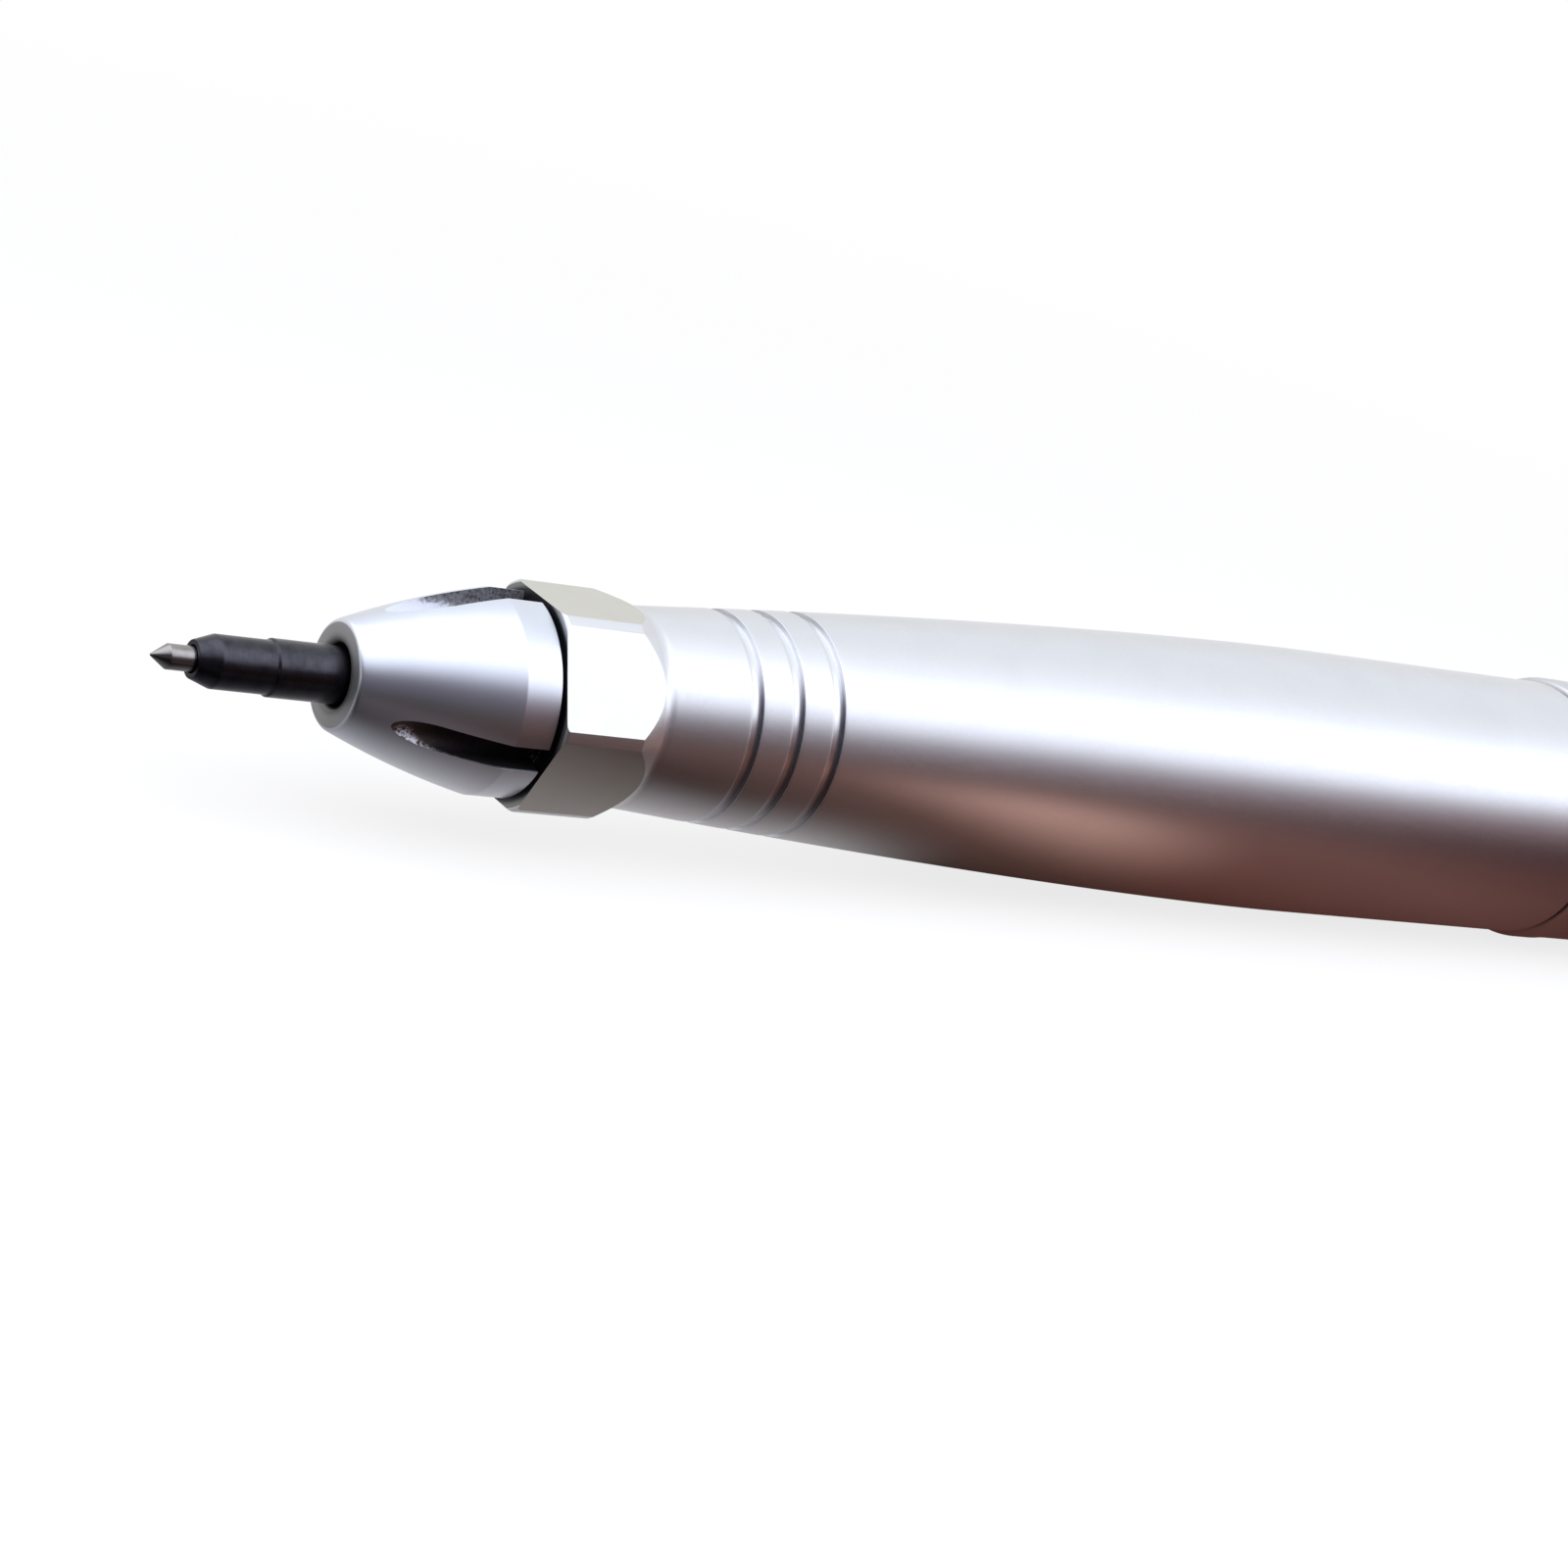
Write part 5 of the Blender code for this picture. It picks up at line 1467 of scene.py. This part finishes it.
@dataclass(frozen=True)
class InnerPieces:
    """The pieces inside the pen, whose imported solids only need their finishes."""

    finishes: "tuple[tuple[Palette, tuple[str, ...]], ...]" = (
        (Palette.SPRING_WIRE, ("stack_spring", "detent_spring", "valve_disc")),
        (Palette.GROUND_STEEL, ("spring_seat_washer", "cylinder", "piston", "valve_seat_plate", "valve_cap")),
        (Palette.GROUND_STEEL, ("valve_dowel_1", "valve_dowel_2", "throttle_stop_pin", "detent_ball")),
        (Palette.BRONZE, ("guide_bush",)),
        (Palette.BRASS, ("spacer_tube", "inlet_screen")),
        (Palette.RUBBER, ("stylus_seal", "cylinder_seal", "housing_seal")),
        (Palette.RUBBER, ("throttle_front_seal", "throttle_rear_seal")),
        (Palette.URETHANE, ("stylus_bumper",)),
    )

    def build(self) -> None:
        """Give each inner piece its finish."""
        for finish, nodes in self.finishes:
            for name in nodes:
                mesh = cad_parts[name].data
                mesh.materials.clear()
                mesh.materials.append(finish.material())
                LOG.info("%s: finished as %s", name, finish.name.lower())


# The studio


@dataclass(frozen=True)
class Studio:
    """A white floor and backdrop, one large softbox, and toned cards that only reflections see.

    Sizes are in metres, and so are places along X and Y.

    Attributes:
        eye: The camera's place.
        right: The camera's axis to the right.
        up: The camera's axis upwards.
        floor_white: How much of its own white the floor shows near the pen; the rest is lit paper.
        floor_fade: Distances from the pen between which the floor turns all white.
        world_fill: How strong the backdrop is as a light.
        box_colour: Colour of the softbox's face, for a strength of one.
        box_strength: Strength of that face.
        box_front: Slope, start and end of the face's soft front edge on the ceiling card.
        box_back: The same of its back edge, which is straight beyond box_run.
        ceiling: Height of the softbox and of the ceiling card.
        wall: Y of the wall card.
        room: X values between which the dim room turns from its left tone to its right one.
        back_room: Y values between which the ceiling behind the softbox turns from near to far.
        band_turn: Direction of the bands of reflected tones close to the pen, as an X and a Y.
        band_span: Where the bands start and end along it.
        bands: Those bands, from the nose's end.
        distant_reach: Y values between which the tones further in front take over.
        glow: X, Y and radius of the brightest warm glow.
        under: Y values between which the tones behind the pen take over.
    """

    eye: Triple = (-0.18022, -0.22162, 0.08249)
    right: Triple = (0.82858, -0.48814, 0.27417)
    up: Triple = (-0.08348, 0.37652, 0.92264)
    lens: float = 90.0
    sensor: float = 36.0
    clip: Range = (0.01, 30.0)
    floor_half: float = 4.0
    floor_white: float = 0.8
    floor_fade: Range = (0.1, 0.35)
    paper: Colour = (0.82, 0.82, 0.83)
    world_fill: float = 0.45
    box_colour: Colour = (0.885, 0.912, 1.0)
    box_strength: float = 2.27
    box_size: Range = (2.1, 0.745)
    box_place: Point = (0.1115, -0.352)
    box_turn: float = -25.0
    box_front: Triple = (0.693, -1.174, -0.147)
    box_back: Triple = (1.165, 0.08, 0.318)
    box_run: Range = (-0.4, 0.34)
    ceiling: float = 0.5
    wall: float = -1.5
    card_half: float = 3.0
    card_back: float = 0.12
    card_lift: float = 0.00005
    room: Range = (-0.1, 1.2)
    dim_left: Colour = (0.108, 0.09, 0.121)
    dim_right: Colour = (0.206, 0.137, 0.146)
    back_room: Range = (0.3, 1.5)
    back_near: Colour = (1.1, 1.13, 1.165)
    back_far: Colour = (0.94, 0.915, 0.88)
    band_turn: Point = (0.76, -0.65)
    band_span: Range = (-0.045, 0.07)
    bands: "tuple[tuple[float, Colour], ...]" = (
        (0.0, (0.02, 0.02, 0.02)),
        (0.13, (0.15, 0.12, 0.125)),
        (0.235, (0.045, 0.02, 0.016)),
        (0.35, (0.115, 0.06, 0.048)),
        (0.5, (0.16, 0.058, 0.043)),
        (0.7, (0.19, 0.08, 0.066)),
        (1.0, (0.037, 0.0, 0.0)),
    )
    distant_reach: Range = (-0.03, -0.1)
    distant_base: Colour = (0.043, 0.058, 0.044)
    distant_layers: Layers = (("x", -0.1, 0.5, (0.32, 0.015, 0.015)),)
    glow: Triple = (0.002, -0.024, 0.02)
    glow_colour: Colour = (0.77, 0.45, 0.37)
    under: Range = (-0.012, 0.006)
    under_base: Colour = (0.004, 0.003, 0.003)
    under_layers: Layers = (
        ("x", -0.008, -0.025, (0.78, 0.755, 0.76)),
        ("y", 0.012, 0.052, (1.0, 1.0, 0.98)),
        ("x", -0.045, -0.075, (0.36, 0.35, 0.37)),
        ("x", 0.0, 0.045, (0.04, 0.012, 0.01)),
    )

    def camera(self) -> None:
        """Set up the camera at the photograph's angle."""
        data = bpy.data.cameras.new("camera")
        data.lens = self.lens
        data.sensor_width = self.sensor
        data.clip_start, data.clip_end = self.clip
        camera = bpy.data.objects.new("camera", data)
        right, up = Vector(self.right), Vector(self.up)
        turn = Matrix((right, up, right.cross(up))).transposed().to_4x4()
        camera.matrix_world = Matrix.Translation(self.eye) @ turn
        bpy.context.scene.collection.objects.link(camera)
        bpy.context.scene.camera = camera

    @staticmethod
    def seen(graph: Graph) -> Sock:
        """Give 1 for rays from the camera, from reflections and through clear things, and 0 for others."""
        kinds = ("Is Camera Ray", "Is Glossy Ray", "Is Transmission Ray")
        camera, glossy, clear = (graph.add("ShaderNodeLightPath", output=kind) for kind in kinds)
        return camera.highest(glossy).highest(clear)

    def world(self) -> None:
        """Make the backdrop white for the camera and for reflections, and softer as a light."""
        world = bpy.data.worlds.new("backdrop")
        bpy.context.scene.world = world
        graph = Graph(world)
        strength = self.seen(graph) * (1.0 - self.world_fill) + self.world_fill
        back = graph.add("ShaderNodeBackground", sockets={"Color": rgba(WHITE), "Strength": strength})
        graph.add("ShaderNodeOutputWorld", sockets={"Surface": back})

    @staticmethod
    def sheet(name: str, corners: Sequence[Sequence[float]], surface: Sock) -> bpy.types.Object:
        """Add a flat sheet of the studio.

        Args:
            name: Its name.
            corners: Its corners in order, in metres.
            surface: The shader of its own material.

        Returns:
            The sheet.
        """
        surface.graph.add("ShaderNodeOutputMaterial", sockets={"Surface": surface})
        bm = bmesh.new()
        bm.faces.new([bm.verts.new(corner) for corner in corners])
        obj = hold(name, bm)
        obj.data.materials.append(bpy.data.materials[name])
        return obj

    @staticmethod
    def level(half: float, front: float, back: float, height: float) -> "tuple[tuple[float, ...], ...]":
        """Give the corners of a level sheet."""
        return (-half, front, height), (half, front, height), (half, back, height), (-half, back, height)

    def floor(self) -> None:
        """Lay the white floor, which keeps the pen's shadow."""
        spot = Spot(Graph(bpy.data.materials.new("floor")))
        graph = spot.graph
        away = spot.distance(0.0, 0.0).between(*self.floor_fade)
        white = away * (1.0 - self.floor_white) + self.floor_white
        paper = graph.add("ShaderNodeBsdfDiffuse", sockets={"Color": rgba(self.paper)})
        glow = graph.add("ShaderNodeEmission", sockets={"Color": rgba(WHITE), "Strength": 1.0})
        surface = graph.add("ShaderNodeMixShader", sockets={0: self.seen(graph) * white, 1: paper, 2: glow})
        self.sheet("floor", self.level(self.floor_half, -self.floor_half, self.floor_half, 0.0), surface)

    def card(
        self,
        name: str,
        corners: Sequence[Sequence[float]],
        tone: "Callable[[Spot], Sock]",
        strength: float = 1.0,
    ) -> None:
        """Set up a toned card that only reflections see.

        Args:
            name: Its name.
            corners: Its corners in order, in metres.
            tone: Gives the tone of a point.
            strength: What the tone is multiplied by.
        """
        spot = Spot(Graph(bpy.data.materials.new(name)))
        glow = spot.graph.add("ShaderNodeEmission", sockets={"Color": tone(spot), "Strength": strength})
        obj = self.sheet(name, corners, glow)
        obj.visible_camera = obj.visible_diffuse = obj.visible_shadow = obj.visible_transmission = False

    def floor_tone(self, spot: Spot) -> Sock:
        """Tone the card under the pen.

        Args:
            spot: The point that is toned.

        Returns:
            Dark warm tones with one warm glow in front of the pen and under its rear end, and a light one
            behind its nose.
        """
        graph, (start, end) = spot.graph, self.band_span
        across = spot.x * self.band_turn[0] + spot.y * self.band_turn[1]
        across = (across - start) * (1.0 / (end - start))
        close = graph.add("ShaderNodeValToRGB", {"stops": self.bands}, {"Fac": across})
        distant = spot.layered(self.distant_base, self.distant_layers)
        front = graph.mix(spot.y.between(*self.distant_reach), close, distant)
        x, y, radius = self.glow
        front = graph.mix(spot.distance(x, y).between(radius, 0.0), front, rgba(self.glow_colour))
        behind = spot.layered(self.under_base, self.under_layers)
        return graph.mix(spot.y.between(*self.under), front, behind)

    def wall_tone(self, spot: Spot) -> Sock:
        """Tone the wall in front of the pen, warmer to the right."""
        return spot.graph.mix(spot.x.between(*self.room), rgba(self.dim_left), rgba(self.dim_right))

    def ceiling_tone(self, spot: Spot) -> Sock:
        """Tone the ceiling, for the softbox's strength.

        Args:
            spot: The point that is toned.

        Returns:
            The dim room in front, the softbox's face with its soft edges, and the light room behind it.
        """
        dim_left, dim_right, back_near, back_far = (
            rgba(scaled(colour, 1.0 / self.box_strength))
            for colour in (self.dim_left, self.dim_right, self.back_near, self.back_far)
        )
        graph, (start, end) = spot.graph, self.box_run
        dim = graph.mix(spot.x.between(*self.room), dim_left, dim_right)
        back = graph.mix(spot.y.between(*self.back_room), back_near, back_far)
        slope, *limits = self.box_front
        face = graph.mix((spot.y + spot.x * slope).between(*limits), dim, rgba(self.box_colour))
        slope, *limits = self.box_back
        along = spot.x.between(start, end) * (end - start) + start
        return graph.mix((spot.y + along * slope).between(*limits), face, back)

    def softbox(self) -> None:
        """Hang the softbox above and in front of the pen; the ceiling card stands for it in reflections."""
        width, depth = self.box_size
        data = bpy.data.lights.new("softbox", "AREA")
        data.shape = "RECTANGLE"
        data.size, data.size_y = width, depth
        data.color = self.box_colour
        data.energy = self.box_strength * math.pi * width * depth
        lamp = bpy.data.objects.new("softbox", data)
        lamp.location = (*self.box_place, self.ceiling)
        lamp.rotation_euler.z = math.radians(self.box_turn)
        lamp.visible_camera = lamp.visible_glossy = False
        bpy.context.scene.collection.objects.link(lamp)

    def build(self) -> None:
        """Build the studio."""
        self.camera()
        self.world()
        self.floor()
        self.softbox()
        half, front, top = self.card_half, self.wall, self.ceiling
        floor = self.level(half, front, self.card_back, self.card_lift)
        wall = ((-half, front, 0.0), (half, front, 0.0), (half, front, top), (-half, front, top))
        ceiling = self.level(half, front, half, top)
        self.card("toned_floor_card", floor, self.floor_tone)
        self.card("toned_wall_card", wall, self.wall_tone)
        self.card("toned_ceiling_card", ceiling, self.ceiling_tone, self.box_strength)
        bpy.context.scene.view_settings.view_transform = "Standard"


def main() -> None:
    """Build the studio and dress the pen from its point to its inlet."""
    Studio().build()
    builders: "tuple[Callable[[], object], ...]" = (
        Stylus,
        ReturnSpring,
        NoseCone,
        Housing,
        ThrottleRing,
        ThrottleBody,
        InletThread,
        RetainingRing,
        InnerPieces,
    )
    for builder in builders:
        LOG.info("Building %s", builder.__name__)
        builder().build()


if __name__ == "__main__":
    main()
